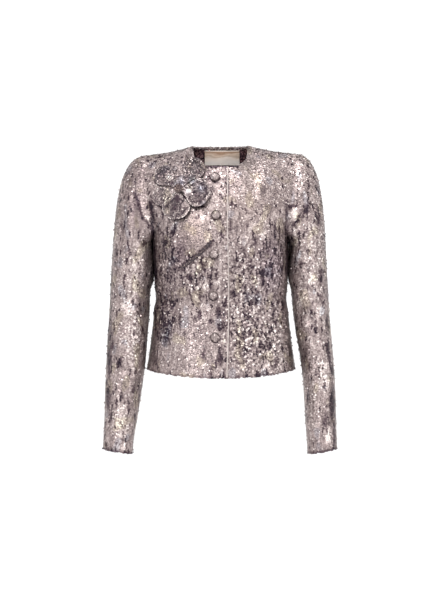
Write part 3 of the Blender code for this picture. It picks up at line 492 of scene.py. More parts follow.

# Sequins of the petals, and the dark beads round each, which stand in for the shadow under its rim
PETAL_PITCH = 2.2
PETAL_SHIFT = 0.5
PETAL_WANDER = 0.3
PETAL_SEQUIN_RADIUS = (1.0, 1.55)
PETAL_SEQUIN_LIFT = (0.3, 1.0)
PETAL_TILT = 0.22
PETAL_GRAIN = 0.17
PETAL_MOTTLE = 0.34
PETAL_SHADES = {
    # name: its own tone, the strength of its ring shading, the tone of the dark beads round it, a
    # painted shadow
    "petal_1": (0.38, 0.85, 0.06),
    "petal_2": (0.53, 0.65, 0.03),
    "petal_3": (0.42, 1.0, 0.03),
    "petal_4": (0.38, 0.95, 0.04),
    "petal_5": (0.46, 0.3, 0.30),
}
PETAL_RING_SHADING = {
    # A dark root, a mottled middle, a dark groove inside the rim and a pale rim. The dark groove is
    # painted shade inside the rolled rim, and the pale rim is partly the beaded outline and partly
    # painted light on that rim
    "size": (0.0, 0.2, 0.35, 0.60, 0.70, 0.78, 0.88, 1.0),
    "tone": (-0.16, -0.08, 0.06, 0.03, -0.24, -0.17, 0.22, 0.30),
}
# Patches on the petals: the pale ones near the roots are painted highlights and the dark ones painted
# shade; the rest are the petals' own mottling.
PETAL_GLEAMS_AND_PATCHES = (
    # petal, x, z, reach, tone, share of it
    ("petal_1", -110.5, -61.0, 9.5, 0.98, 1.0),
    ("petal_1", -127.0, -72.0, 8.0, 0.72, 0.5),
    ("petal_2", -110.0, -92.0, 10.0, 0.80, 0.8),
    ("petal_2", -134.0, -100.0, 9.0, 0.56, 0.5),
    ("petal_3", -94.0, -110.0, 8.0, 0.10, 0.9),
    ("petal_3", -114.6, -136.0, 8.0, 0.82, 0.75),
    ("petal_3", -99.5, -128.0, 7.0, 0.16, 0.7),
    ("petal_3", -74.0, -121.0, 8.0, 0.74, 0.6),
    ("petal_4", -68.8, -93.0, 8.0, 0.97, 1.0),
    ("petal_4", -53.0, -80.0, 7.0, 0.74, 0.6),
    ("petal_4", -46.0, -108.0, 10.0, 0.28, 0.5),
    ("petal_5", -60.0, -44.0, 9.0, 0.70, 0.4),
)
RIM_WAVE = 11.0
RIM_UNEVENNESS = 0.20
SHADOW_BEAD_RADIUS = 1.3
SHADOW_BEAD_GROWTH = 2.2
SHADOW_BEAD_LIFT = 0.2
SHADOW_BEAD_GRAIN = 0.06

# Beads of the flower's middle and of the beaded line
BEAD_RING_RADIUS = 0.866
BEAD_RING_HEIGHT = 0.5
BEAD_TURNED_FROM = (0.31, 0.17, 0.93)
MOUND_SPREAD = 4.4
MOUND_COUNT = 1.05
MOUND_TURN = 0.07
MOUND_LIFT = 0.4
MOUND_BEAD_RADIUS = 1.15
MOUND_TONE = 0.44
MOUND_GRAIN = 0.2
MOUND_TINT = (1.06, 0.97, 0.88)
LINE_BEAD_RADIUS = 1.05
LINE_BEAD_SHARE = 0.72
LINE_TONES = {"middle": 0.44, "side": 0.20}
LINE_GRAIN = 0.16
LINE_SWAY = 0.35
LINE_END_SHARE = 0.16
LINE_END_DROP = 0.22
LINE_TINT = (1.03, 0.97, 0.88)

# A pale cord along the right front's edge: a painted highlight where light catches the lapped edge
HIGHLIGHT_CORD_RADIUS = 1.4
HIGHLIGHT_CORD_LIFT = 0.7
HIGHLIGHT_CORD_AROUND = 8

PANEL_EDGES = {
    "front_band": ("first",),
    "front_left": ("last",),
}
PANEL_LOOKS = {"front_band": "band"}
SEED = 20

CLOTHS = (
    # look, name, dark colour, pale colour, roughness, metallic, weave scale, depth of the weave
    ("cloth", "net under sequins", (0.06, 0.04, 0.06), (0.20, 0.15, 0.15), 0.6, 0.1, 900, 0.35),
    ("sleeve", "sleeve net", (0.07, 0.05, 0.06), (0.22, 0.17, 0.16), 0.6, 0.1, 900, 0.35),
    ("band", "band weave", (0.28, 0.22, 0.21), (0.66, 0.58, 0.54), 0.45, 0.35, 900, 0.35),
    # The pale cord along the front edge, a painted highlight.
    ("highlight_cord", "highlight_cord", (0.22, 0.17, 0.16), (0.90, 0.80, 0.76), 0.5, 0.1, 900, 0.35),
    ("lining", "lining", (0.20, 0.15, 0.15), (0.34, 0.27, 0.26), 0.42, 0.0, 1400, 0.1),
    ("facing", "facing net", (0.02, 0.015, 0.022), (0.07, 0.05, 0.06), 0.6, 0.1, 900, 0.35),
    ("petal", "petal cloth", (0.03, 0.022, 0.03), (0.10, 0.08, 0.09), 0.5, 0.2, 900, 0.35),
    ("button", "button cloth", (0.18, 0.14, 0.14), (0.44, 0.37, 0.35), 0.5, 0.2, 900, 0.35),
)

# The label's satin: its own pale colour below and painted shade, brown, toward the top. The colour
# goes by the share of its height, with the smear added.
LABEL_SMEAR = 0.75
LABEL_SMEAR_SIZE = (28.0, 28.0, 90.0)
LABEL_COLOUR_AND_SHADE_SPAN = 1.4
LABEL_COLOUR_AND_SHADE = (
    (0.42, (1.0, 0.92, 0.86)),
    (0.82, (1.0, 0.86, 0.76)),
    (0.94, (0.66, 0.50, 0.39)),
    (1.04, (0.90, 0.71, 0.57)),
    (1.20, (0.50, 0.31, 0.21)),
)
LABEL_BORDER = ((0.90, (0.0, 0.0, 0.0)), (0.95, (1.0, 1.0, 1.0)))
LABEL_EDGE_COLOUR = (1.0, 0.90, 0.80, 1.0)

# Stage, in metres where a lamp or the camera stands
FLOOR_SHADES = ((0.0, (0.90, 0.90, 0.90)), (1.0, (0.94, 0.94, 0.94)))
FLOOR_Z = -1250.0
FLOOR_REACH = 30000.0
WORLD_STRENGTH = 1.22
CAMERA_X = -0.001
CAMERA_Z = -0.327
CAMERA_DISTANCE = 4.0
SENSOR_HEIGHT = 24.0
FRAME_HEIGHT = 1.32
LAMP_AIM = (0.0, 0.0, -0.3)
LAMPS = (
    # name, place, size, energy
    ("key", (-1.3, -2.8, 2.1), 0.8, 30.0),
    ("fill", (2.1, -2.8, 0.8), 1.2, 10.0),
    ("top", (0.2, -0.7, 2.4), 1.0, 30.0),
)


def smooth_curve(knots, values):
    """A curve through the knots that never overshoots a value. Both lists run upward."""
    knots = np.asarray(knots, dtype=float)
    values = np.asarray(values, dtype=float)
    step = np.diff(knots)
    slope = np.diff(values) / step
    tangent = np.zeros_like(values)
    tangent[0] = slope[0]
    tangent[-1] = slope[-1]
    product = slope[:-1] * slope[1:]
    total = np.where(product > 0, slope[:-1] + slope[1:], 1.0)
    tangent[1:-1] = np.where(product > 0, 2.0 * product / total, 0.0)

    def at(place):
        place = np.clip(place, knots[0], knots[-1])
        index = np.clip(np.searchsorted(knots, place) - 1, 0, len(step) - 1)
        t = (place - knots[index]) / step[index]
        start = (1 + 2 * t) * (1 - t) ** 2 * values[index]
        leave = t * (1 - t) ** 2 * step[index] * tangent[index]
        end = t * t * (3 - 2 * t) * values[index + 1]
        arrive = t * t * (t - 1) * step[index] * tangent[index + 1]
        return start + leave + end + arrive

    return at


def signed_power(value, power):
    return np.sign(value) * np.abs(value) ** power


def stack(x, y, z):
    return np.stack(np.broadcast_arrays(x, y, z), axis=-1)


def unit(vectors):
    return vectors / np.linalg.norm(vectors, axis=-1, keepdims=True)


def hermite(start, leave, end, arrive, t):
    t = t[..., None]
    bent = (1 + 2 * t) * (1 - t) ** 2 * start + t * (1 - t) ** 2 * leave
    return bent + t * t * (3 - 2 * t) * end + t * t * (t - 1) * arrive


body_half_width = smooth_curve(BODY_SECTIONS["height"], BODY_SECTIONS["half_width"])
body_front_depth = smooth_curve(BODY_SECTIONS["height"], BODY_SECTIONS["front_depth"])
body_back_depth = smooth_curve(BODY_SECTIONS["height"], BODY_SECTIONS["back_depth"])
edge_line_x = smooth_curve(EDGE_LINE["height"], EDGE_LINE["x"])
sleeve_half_depth = smooth_curve(SLEEVE_DEPTH["height"][::-1], SLEEVE_DEPTH["half_depth"][::-1])
sleeve_centre_y = smooth_curve(SLEEVE_DEPTH["height"][::-1], SLEEVE_DEPTH["centre_y"][::-1])


def ring_point(angle, z):
    """A point of the body's section. The angle is 0 at the front, 90 at +X and 180 behind.

    Below the arms the body hangs a little fuller on the wearer's left.
    """
    turn = np.radians(angle)
    ease = LEFT_EASE * np.clip((UNDERARM_Z - z) / LEFT_EASE_HEIGHT, 0, 1) * (np.sin(turn) > 0)
    across = signed_power(np.sin(turn), SECTION_POWER) * (body_half_width(z) + ease)
    along = signed_power(np.cos(turn), SECTION_POWER)
    depth = np.where(along > 0, body_front_depth(z), body_back_depth(z))
    return stack(across, -along * depth, z)


def angle_at_x(x, z):
    """The ring angle near the centre front where the section crosses x."""
    return np.degrees(np.arcsin(signed_power(x / body_half_width(z), 1 / SECTION_POWER)))


def hem_height(angle):
    middle = np.where(np.abs(angle) < 90, HEM_FRONT_Z, HEM_BACK_Z)
    return HEM_SIDE_Z + (middle - HEM_SIDE_Z) * np.cos(np.radians(angle)) ** 2


def lower_top(angle):
    """Where the lower rows end: level with the junction, and dipping under the arm."""
    size = np.abs(angle)
    share = np.clip((size - FRONT_SEAM_ANGLE) / (BACK_SEAM_ANGLE - FRONT_SEAM_ANGLE), 0, 1)
    return JUNCTION_Z + (UNDERARM_Z - JUNCTION_Z) * np.sin(np.pi * share) ** UNDERARM_ROUNDNESS


def neck_turn(share, neck_share):
    """Turns a column's share of the panel into an angle along the neckline."""
    return np.radians(90) * np.clip(share / neck_share, 0, 1) ** NECK_TURN_POWER


def shoulder_line(share):
    """The shoulder seam from the neck, at 0, to the armhole, at 1."""
    tip_x, tip_y, tip_z = SHOULDER_TIP
    x = NECK_HALF_WIDTH + (tip_x - NECK_HALF_WIDTH) * share
    y = NECK_SIDE_Y + (tip_y - NECK_SIDE_Y) * share
    z = NECK_SIDE_Z + (tip_z - NECK_SIDE_Z) * share * (1 + SHOULDER_HOLLOW * (1 - share))
    return stack(x, y, z)


def shoulder_slope(share):
    """How fast the shoulder seam falls for each millimetre outward."""
    fall = (NECK_SIDE_Z - SHOULDER_TIP[2]) / (SHOULDER_TIP[0] - NECK_HALF_WIDTH)
    return fall * (1 + SHOULDER_HOLLOW * (1 - 2 * share))


def front_top(share):
    """The top edge of a front, for shares 0 to 1: half the neckline, then the shoulder."""
    turn = neck_turn(share, FRONT_NECK_SHARE)
    x = NECK_HALF_WIDTH * np.sin(turn) ** NECK_FRONT_POWER
    y = NECK_FRONT_Y + (NECK_SIDE_Y - NECK_FRONT_Y) * (1 - np.cos(turn))
    z = NECK_FRONT_Z + (NECK_SIDE_Z - NECK_FRONT_Z) * (1 - np.cos(turn) ** NECK_FRONT_POWER)
    along = np.clip((share - FRONT_NECK_SHARE) / (1 - FRONT_NECK_SHARE), 0, 1)
    on_neck = (share <= FRONT_NECK_SHARE)[..., None]
    return np.where(on_neck, stack(x, y, z), shoulder_line(along))


def back_top(share):
    """The top edge of a back, for shares 0 at the centre to 1 at the armhole."""
    turn = neck_turn(share, BACK_NECK_SHARE)
    x = NECK_HALF_WIDTH * np.sin(turn) ** NECK_BACK_WIDTH_POWER
    y = NECK_SIDE_Y + (NECK_BACK_Y - NECK_SIDE_Y) * np.cos(turn) ** NECK_BACK_DEPTH_POWER
    z = NECK_SIDE_Z + (NECK_BACK_Z - NECK_SIDE_Z) * np.cos(turn)
    along = np.clip((share - BACK_NECK_SHARE) / (1 - BACK_NECK_SHARE), 0, 1)
    on_neck = (share <= BACK_NECK_SHARE)[..., None]
    return np.where(on_neck, stack(x, y, z), shoulder_line(along))


def mirrored(points, side):
    flipped = points.copy()
    flipped[..., 0] = points[..., 0] * side
    return flipped


def eased(share):
    share = np.clip(share, 0, 1)
    return share * share * (3 - 2 * share)


def lifted(points):
    """The points with the wearer's left shoulder raised, which sits higher than the right."""
    tip_x, _, tip_z = SHOULDER_TIP
    up = eased((points[..., 2] - JUNCTION_Z) / (tip_z - JUNCTION_Z))
    raised = points.copy()
    raised[..., 2] += LEFT_SHOULDER_LIFT * up * eased(points[..., 0] / tip_x)
    return raised


def blend(start, end, share):
    """Mixes two directions, for shares from 0 to 1."""
    share = np.clip(share, 0, 1)[..., None]
    return np.asarray(start) * (1 - share) + np.asarray(end) * share


def upper_point(angle, t):
    """A point above the junction. t runs from the junction, at 0, to the top edge, at 1."""
    side = np.where(angle < 0, -1.0, 1.0)
    size = np.abs(angle)
    front = size < 90
    share = np.where(front, size / FRONT_SEAM_ANGLE, (180 - size) / (180 - BACK_SEAM_ANGLE))
    start = ring_point(size, np.full_like(size, JUNCTION_Z))
    below = ring_point(size, np.full_like(size, JUNCTION_Z - SLOPE_STEP))
    rise = (start - below) / SLOPE_STEP
    flare = share[..., None] ** FLARE_POWER
    leave_front = rise + flare * np.array(FRONT_FLARE)
    leave_back = rise + flare * np.array(BACK_FLARE)
    neck = share / np.where(front, FRONT_NECK_SHARE, BACK_NECK_SHARE)
    seam = (neck - 1) / np.where(front, 1 / FRONT_NECK_SHARE - 1, 1 / BACK_NECK_SHARE - 1)
    seam = np.clip(seam, 0, 1)
    lean = NECK_CORNER_LEAN * (1 - np.clip(LEAN_FADE * seam, 0, 1))
    over_front = unit(stack(lean, 1.0, -lean * shoulder_slope(seam)))
    over_back = unit(stack(lean, -1.0, -lean * shoulder_slope(seam)))
    arrive_front = blend(FRONT_CENTRE_ARRIVAL, over_front, neck)
    arrive_back = blend(BACK_CENTRE_ARRIVAL, over_back, neck)
    pick = front[..., None]
    end = np.where(pick, front_top(share), back_top(share))
    reach = np.linalg.norm(end - start, axis=-1, keepdims=True)
    edge = np.clip((share[..., None] - ARMHOLE_SHARE) / (1 - ARMHOLE_SHARE), 0, 1)
    leave = np.where(pick, leave_front, leave_back) * reach * (LEAVE_PULL - LEAVE_PULL_LOSS * edge)
    pull = ARRIVE_PULL - ARRIVE_PULL_LOSS * edge
    arrive = np.where(pick, arrive_front, arrive_back) * reach * pull
    return lifted(mirrored(hermite(start, leave, end, arrive, t), side))


def fold_depth(points, folds, face_of):
    """How far each fold of a table moves each point in, as a smooth trough along a line."""
    depth = np.zeros(points.shape[:-1])
    for face, x_0, z_0, x_1, z_1, width, size in folds:
        start = np.array((x_0, z_0), dtype=float)
        run = np.array((x_1 - x_0, z_1 - z_0), dtype=float)
        flat = points[..., (0, 2)] - start
        along = np.clip((flat @ run) / (run @ run), 0, 1)
        away = np.linalg.norm(flat - along[..., None] * run, axis=-1)
        taper = FOLD_END_SHARE + (1 - FOLD_END_SHARE) * np.sin(np.pi * along)
        depth += face_of(face) * size * taper * np.exp(-((away / width) ** 2))
    return depth


def grid_normals(grid):
    """Outward normals of a grid whose rows run up and whose columns run toward +angle."""
    across = np.gradient(grid, axis=1, edge_order=2)
    up = np.gradient(grid, axis=0, edge_order=2)
    return unit(np.cross(across, up))


def body_grid(angles):
    """The lower rows, and above them the upper rows where the columns are not under the arm."""
    hem = hem_height(angles[0])
    top = lower_top(angles[0])
    level = np.linspace(0, 1, LOWER_ROWS + 1)[:, None]
    lower_angles = angles[: LOWER_ROWS + 1]
    lower = ring_point(lower_angles, hem + (top - hem) * level)
    if len(angles) == LOWER_ROWS + 1:
        return lower
    t = np.linspace(0, 1, UPPER_ROWS + 1)[1:, None] + np.zeros_like(angles[:1])
    upper = upper_point(angles[LOWER_ROWS + 1:], t)
    return np.concatenate((lower, upper), axis=0)


def folded(grid):
    """The grid with the body's folds pressed into it, and its normals.

    Along the shoulder seam front and back share one normal, so their walls meet squarely.
    """
    normals = grid_normals(grid)
    front = grid[..., 1] < 0

    def face_of(face):
        return np.where(front if face == "front" else ~front, 1.0, 0.0)

    grid = grid - fold_depth(grid, BODY_FOLDS, face_of)[..., None] * normals
    normals = grid_normals(grid)
    on_seam = np.abs(grid[-1, :, 1] - NECK_SIDE_Y) < SEAM_REACH
    on_seam &= grid[-1, :, 2] > SHOULDER_TIP[2] - SEAM_REACH
    along = (np.abs(grid[-1, :, 0]) - NECK_HALF_WIDTH) / (SHOULDER_TIP[0] - NECK_HALF_WIDTH)
    upright = unit(stack(np.sign(grid[-1, :, 0]) * shoulder_slope(along), 0.0, 1.0))
    normals[-1] = np.where(on_seam[:, None], upright, normals[-1])
    return grid, normals


def column_angles(stops, counts, rows):
    """A table of angles, row by row, spread evenly between stops.

    A stop is one angle, or one for each row. Counts holds the columns between the stops.
    """
    stops = [np.broadcast_to(np.asarray(stop, dtype=float), (rows,))[:, None] for stop in stops]
    spread = [stops[0]]
    for start, end, count in zip(stops[:-1], stops[1:], counts):
        share = np.linspace(0, 1, count + 1)[None, 1:]
        spread.append(start + (end - start) * share)
    return np.concatenate(spread, axis=1)


def trimmed(grid, edges):
    """Draws the named edges of a grid in by half a seam gap."""
    grid = grid.copy()
    half = SEAM_GAP / 2
    places = {
        "first": ((slice(None), 0), (slice(None), 1)),
        "last": ((slice(None), -1), (slice(None), -2)),
        "bottom": ((0,), (1,)),
        "top": ((-1,), (-2,)),
    }
    for name in edges:
        edge, inside = places[name]
        grid[edge] = grid[edge] + half * unit(grid[inside] - grid[edge])
    return grid


def front_rows_z():
    """Heights of a front's lower rows at the centre, used to place the front edge."""
    return np.linspace(HEM_FRONT_Z, JUNCTION_Z, LOWER_ROWS + 1)


def edge_angles(offset):
    """Ring angles, row by row, of a line at an offset from the right front's edge."""
    heights = front_rows_z()
    lower = angle_at_x(edge_line_x(heights) + offset, heights)
    return np.concatenate((lower, np.full(UPPER_ROWS, lower[-1])))


FULL_ROWS = LOWER_ROWS + 1 + UPPER_ROWS
NECK_ANGLE_FRONT = FRONT_SEAM_ANGLE * FRONT_NECK_SHARE
NECK_ANGLE_BACK = 180 - (180 - BACK_SEAM_ANGLE) * BACK_NECK_SHARE


def armhole_loop(side):
    """An armhole, from the shoulder tip forward, under the arm and back up, on the +X side."""
    sign = 1 if side == "left" else -1
    top = np.linspace(1, 0, UPPER_ROWS + 1)
    front = upper_point(np.full(UPPER_ROWS + 1, sign * FRONT_SEAM_ANGLE), top)
    angles = np.linspace(FRONT_SEAM_ANGLE, BACK_SEAM_ANGLE, SIDE_COLUMNS + 1)
    under = ring_point(sign * angles, lower_top(angles))
    back = upper_point(np.full(UPPER_ROWS + 1, sign * BACK_SEAM_ANGLE), top[::-1])
    return mirrored(np.concatenate((front[:-1], under[:-1], back[:-1])), sign)


def sleeve_ring(side, share, z):
    """Points of an arm's section. The share is 0 outside, 0.25 in front and 0.5 inside."""
    heights = SLEEVE_HEIGHTS[::-1]
    outer = smooth_curve(heights, SLEEVES[side]["outer"][::-1])(z)
    inner = smooth_curve(heights, SLEEVES[side]["inner"][::-1])(z)
    turn = 2 * np.pi * share
    x = (outer + inner) / 2 + (outer - inner) / 2 * np.cos(turn)
    y = sleeve_centre_y(z) - sleeve_half_depth(z) * np.sin(turn)
    return stack(x, y, z)


def sleeve_grid(side):
    """The whole sleeve, cuff first, on the +X side, with its columns from the outside forward."""
    loop = armhole_loop(side)
    following = np.roll(loop, -1, axis=0)
    lengths = np.linalg.norm(following - loop, axis=1)
    run = np.concatenate(((0,), np.cumsum(lengths)[:-1])) / lengths.sum()
    bottom = run[UPPER_ROWS + SIDE_COLUMNS // 2]
    share = np.where(run < bottom, 0.5 * run / bottom, 0.5 + 0.5 * (run - bottom) / (1 - bottom))
    turn = 2 * np.pi * share
    inward = (1 - np.cos(turn)) / 2

    bicep = sleeve_ring(side, share, np.full_like(share, BICEP_Z))
    below = sleeve_ring(side, share, np.full_like(share, BICEP_Z - BICEP_STEP))
    drop = SLEEVES[side]["cap_drop"] + CAP_DROP_UNDER * inward
    leave = unit(stack(np.ones_like(turn), -CAP_SPREAD * np.sin(turn), -drop))
    start = loop + SEAM_GAP * leave
    reach = np.linalg.norm(bicep - start, axis=1, keepdims=True)
    t = np.linspace(0, 1, CAP_ROWS + 1)[:, None] + np.zeros_like(share)[None, :]
    down = unit(below - bicep)
    leave = SLEEVES[side]["cap_leave"] * reach * leave
    arrive = SLEEVES[side]["cap_arrive"] * reach * down
    cap = hermite(start, leave, bicep, arrive, t)

    cuff = CUFF_OUTER_Z + (CUFF_INNER_Z - CUFF_OUTER_Z) * inward
    level = np.linspace(0, 1, ARM_ROWS + 1)[:-1, None]
    arm = sleeve_ring(side, share[None, :], cuff + (BICEP_Z - cuff) * level)
    grid = np.concatenate((arm, cap[::-1]), axis=0)
    return grid, share


def sleeve_fold_depth(side, grid, share):
    """The folds of one sleeve, measured along its surface. The armhole keeps its line."""
    flat = stack(share[None, :] * SLEEVE_GIRTH, 0 * grid[..., 0], grid[..., 2])
    folds = [(side, s_0 * SLEEVE_GIRTH, z_0, s_1 * SLEEVE_GIRTH, z_1, width, depth)
             for which, s_0, z_0, s_1, z_1, width, depth in SLEEVE_FOLDS if which == side]
    depth = fold_depth(flat, folds, lambda face: 1.0)
    depth[-1] = 0
    return depth


def ring_normals(grid):
    """Outward normals of a grid whose columns close round the arm."""
    across = np.roll(grid, -1, axis=1) - np.roll(grid, 1, axis=1)
    up = np.gradient(grid, axis=0, edge_order=2)
    return unit(np.cross(up, across))


def grid_faces(rows, columns):
    """The numbers of a grid's points, and its faces of four."""
    index = np.arange(rows * columns).reshape(rows, columns)
    corners = (index[:-1, :-1], index[:-1, 1:], index[1:, 1:], index[1:, :-1])
    return index, np.stack([corner.ravel() for corner in corners], axis=1)


class Drape:
    """Finds points of a panel's outer face from the front, look 1, or from behind, look -1.

    Each panel is carried on a little past its top and bottom, for what stands over an edge.
    """

    def __init__(self, grids, look):
        vertices = []
        faces = []
        for grid in grids:
            beyond = grid[-1:] + PAST_EDGE * np.array(PAST_TOP)
            below = grid[:1] + PAST_EDGE * np.array(PAST_BOTTOM)
            grid = np.concatenate((below, grid, beyond), axis=0)
            quads = grid_faces(*grid.shape[:2])[1] + len(vertices)
            faces += quads[:, (0, 1, 2, 0, 2, 3)].reshape(-1, 3).tolist()
            vertices += [Vector(point) for point in grid.reshape(-1, 3)]
        self.tree = BVHTree.FromPolygons(vertices, faces)
        self.look = look

    def hit(self, x, z):
        start = Vector((x, -RAY_START * self.look, z))
        return np.array(self.tree.ray_cast(start, Vector((0, self.look, 0)))[0])

    def at(self, x, z, reach=NORMAL_REACH):
        """The point at x and z, and the outward normal over a small patch round it."""
        across = self.hit(x + reach, z) - self.hit(x - reach, z)
        up = self.hit(x, z + reach) - self.hit(x, z - reach)
        normal = np.cross(across, up) * self.look
        return self.hit(x, z), unit(normal)


def front_panels():
    """The right front, the band along its edge, and the left front that runs under both."""
    band_edge = edge_angles(-BAND_WIDTH)
    lap_edge = edge_angles(0.0)
    counts = (SHOULDER_COLUMNS, NECK_COLUMNS)
    angles = column_angles((-FRONT_SEAM_ANGLE, -NECK_ANGLE_FRONT, band_edge), counts, FULL_ROWS)
    right = folded(body_grid(angles))
    angles = column_angles((band_edge, lap_edge), (BAND_COLUMNS,), FULL_ROWS)
    band = folded(body_grid(angles))

    under_edge = edge_angles(-UNDERLAP)
    stops = (under_edge, band_edge, lap_edge, NECK_ANGLE_FRONT, FRONT_SEAM_ANGLE)
    counts = (UNDERLAP_COLUMNS, BAND_COLUMNS, NECK_COLUMNS, SHOULDER_COLUMNS)
    angles = column_angles(stops, counts, FULL_ROWS)
    left, normals = folded(body_grid(angles))
    past_edge = (angles - lap_edge[:, None] - UNDERLAP_CLEAR) / UNDERLAP_EASE
    under = 1 - np.clip(past_edge, 0, 1)
    left = left - (WALL + LAY_GAP) * under[..., None] * normals
    return {"front_right": right, "front_band": band, "front_left": (left, normals)}


def back_and_side_panels():
    """Two backs joined at a centre seam, and a narrow panel under each arm."""
    found = {}
    for word, side in (("left", 1), ("right", -1)):
        stops = (side * BACK_SEAM_ANGLE, side * NECK_ANGLE_BACK, side * 180.0)
        counts = (SHOULDER_COLUMNS, NECK_COLUMNS)
        angles = column_angles(stops[::side], counts[::side], FULL_ROWS)
        found["back_" + word] = folded(body_grid(angles))
        stops = (side * FRONT_SEAM_ANGLE, side * BACK_SEAM_ANGLE)
        angles = column_angles(stops[::side], (SIDE_COLUMNS,), LOWER_ROWS + 1)
        found["side_" + word] = folded(body_grid(angles))
    return found


def sleeve_panels():
    """Upper and under sleeve on each side, parted at the fore-arm and hind-arm seams."""
    found = {}
    for side, sign in (("left", 1), ("right", -1)):
        grid, share = sleeve_grid(side)
        grid = grid - sleeve_fold_depth(side, grid, share)[..., None] * ring_normals(grid)
        normals = ring_normals(grid)
        fore = seam_column(share, FORE_SEAM_SHARE)
        hind = seam_column(share, HIND_SEAM_SHARE)
        count = len(share)
        under = np.arange(fore, hind + 1)
        upper = np.arange(hind, fore + count + 1) % count
        for part, columns in (("under", under), ("upper", upper)):
            columns = columns[::-sign]
            piece = (mirrored(grid[:, columns], sign), mirrored(normals[:, columns], sign))
            found[f"sleeve_{side}_{part}"] = piece
    return found


def seam_column(share, place):
    """The seam's column, on one of the columns that the solids have too."""
    return FINE * int(np.argmin(np.abs(share[::FINE] - place)))


def build_mesh(name, vertices, faces, materials, indices=None):
    """A mesh object from numpy arrays of points in millimetres and faces of equal size."""
    faces = np.asarray(faces, dtype=np.int32)
    mesh = bpy.data.meshes.new(name)
    mesh.vertices.add(len(vertices))
    mesh.vertices.foreach_set("co", (np.asarray(vertices) * MM).astype(np.float32).ravel())
    mesh.loops.add(faces.size)
    mesh.loops.foreach_set("vertex_index", faces.ravel())
    mesh.polygons.add(len(faces))
    mesh.polygons.foreach_set("loop_start", np.arange(len(faces), dtype=np.int32) * faces.shape[1])
    mesh.update(calc_edges=True)
    for look in materials:
        mesh.materials.append(look)
    if indices is not None:
        mesh.polygons.foreach_set("material_index", np.asarray(indices, dtype=np.int32))
    mesh.shade_smooth()
    made = bpy.data.objects.new(name, mesh)
    bpy.context.scene.collection.objects.link(made)
    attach(made, BODY)
    return made


def solid_mesh(*parts):
    """A mesh that is smooth all over but for its sharp edges."""
    made = build_mesh(*parts)
    made.data.set_sharp_from_angle(angle=math.radians(SHARP_ANGLE))
    return made


def shell(name, outer, inner, face_look, back_look):
    """A closed wall between two grids. The inner face and the rims take the second look."""
    index, front = grid_faces(*outer.shape[:2])
    total = index.size
    rim = np.concatenate((index[0, ::-1], index[1:, 0], index[-1, 1:], index[-2:0:-1, -1]))
    following = np.roll(rim, -1)
    sides = np.stack((rim, rim + total, following + total, following), axis=1)
    faces = np.concatenate((front, front[:, ::-1] + total, sides))
    inside = np.arange(len(faces)) >= len(front)
    vertices = np.concatenate((outer.reshape(-1, 3), inner.reshape(-1, 3)))
    return solid_mesh(name, vertices, faces, [face_look, back_look], inside)


def cut_of(grid):
    """Width, length and area in metres of the cloth cut for a grid."""
    across = np.linalg.norm(np.diff(grid, axis=1), axis=2).sum(axis=1)
    up = np.linalg.norm(np.diff(grid, axis=0), axis=2).sum(axis=0)
    edge_across = grid[:-1, 1:] - grid[:-1, :-1]
    edge_up = grid[1:, :-1] - grid[:-1, :-1]
    area = np.linalg.norm(np.cross(edge_across, edge_up), axis=2).sum()
    return float(across.max() * MM), float(up.max() * MM), float(area * MM * MM)


def declare_sheet(grid, nodes):
    width, length, area = cut_of(grid)
    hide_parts(*nodes)


def between(table, level, column):
    """Values of a grid at fractional rows and columns."""
    low = np.minimum(level.astype(int), table.shape[0] - 2)
    left = np.minimum(column.astype(int), table.shape[1] - 2)
    up = (level - low)[:, None]
    right = (column - left)[:, None]
    bottom = table[low, left] * (1 - right) + table[low, left + 1] * right
    top = table[low + 1, left] * (1 - right) + table[low + 1, left + 1] * right
    return bottom * (1 - up) + top * up


def sewing_places(grid, pitch, rng):
    """Fractional rows and columns of staggered lines of stitches, pitch apart, each off a little."""
    rows, columns = grid.shape[:2]
    climb = np.linalg.norm(np.diff(grid, axis=0), axis=2).mean(axis=1)
    up = np.concatenate(((0.0,), np.cumsum(climb)))
    lines = max(2, int(up[-1] / (pitch * LINE_SHARE)))
    levels = []
    places = []
    for line in range(lines + 1):
        level = np.interp(up[-1] * line / lines, up, np.arange(rows))
        low = min(int(level), rows - 2)
        row = grid[low] + (level - low) * (grid[low + 1] - grid[low])
        step = np.linalg.norm(np.diff(row, axis=0), axis=1)
        along = np.concatenate(((0.0,), np.cumsum(step)))
        count = max(2, int(along[-1] / pitch))
        share = (np.arange(count) + STAGGER[line % 2] + rng.uniform(-WANDER, WANDER, count)) / count
        places.append(np.interp(np.clip(share, 0, 1) * along[-1], along, np.arange(columns)))
        sway = rng.uniform(-WANDER, WANDER, count) * (rows - 1) / lines
        levels.append(np.clip(level + sway, 0, rows - 1))
    return np.concatenate(levels), np.concatenate(places)


def noise_at(points, name):
    """Smooth noise from about -1 to 1, of the size that NOISES gives it."""
    size, shift = NOISES[name]
    scaled = points / np.array(size) + shift
    return np.array([noise.noise(Vector(place)) for place in scaled])


def seen_places(points):
    """Where points fall as seen from the front, on the plane of the origin, and which are behind.

    Behind, the pattern turns up again the other way round and a little lower.
    """
    behind = points[:, 1] > BACK_FROM_Y
    distance = CAMERA_DISTANCE / MM
    eye_z = CAMERA_Z / MM
    nearer = distance / (distance + points[:, 1])
    seen_z = eye_z + (points[:, 2] - eye_z) * nearer
    across = np.where(behind, BACK_SHIFT[0] - points[:, 0], points[:, 0] * nearer)
    up = np.where(behind, points[:, 2] - BACK_SHIFT[1], seen_z)
    return across, up, behind


def patch(across, up, x, z, half_width, half_height):
    """A patch with a soft edge: 1 in its middle and 0 well outside."""
    away = ((across - x) / half_width) ** 2 + ((up - z) / half_height) ** 2
    return np.exp(-(away ** 2))


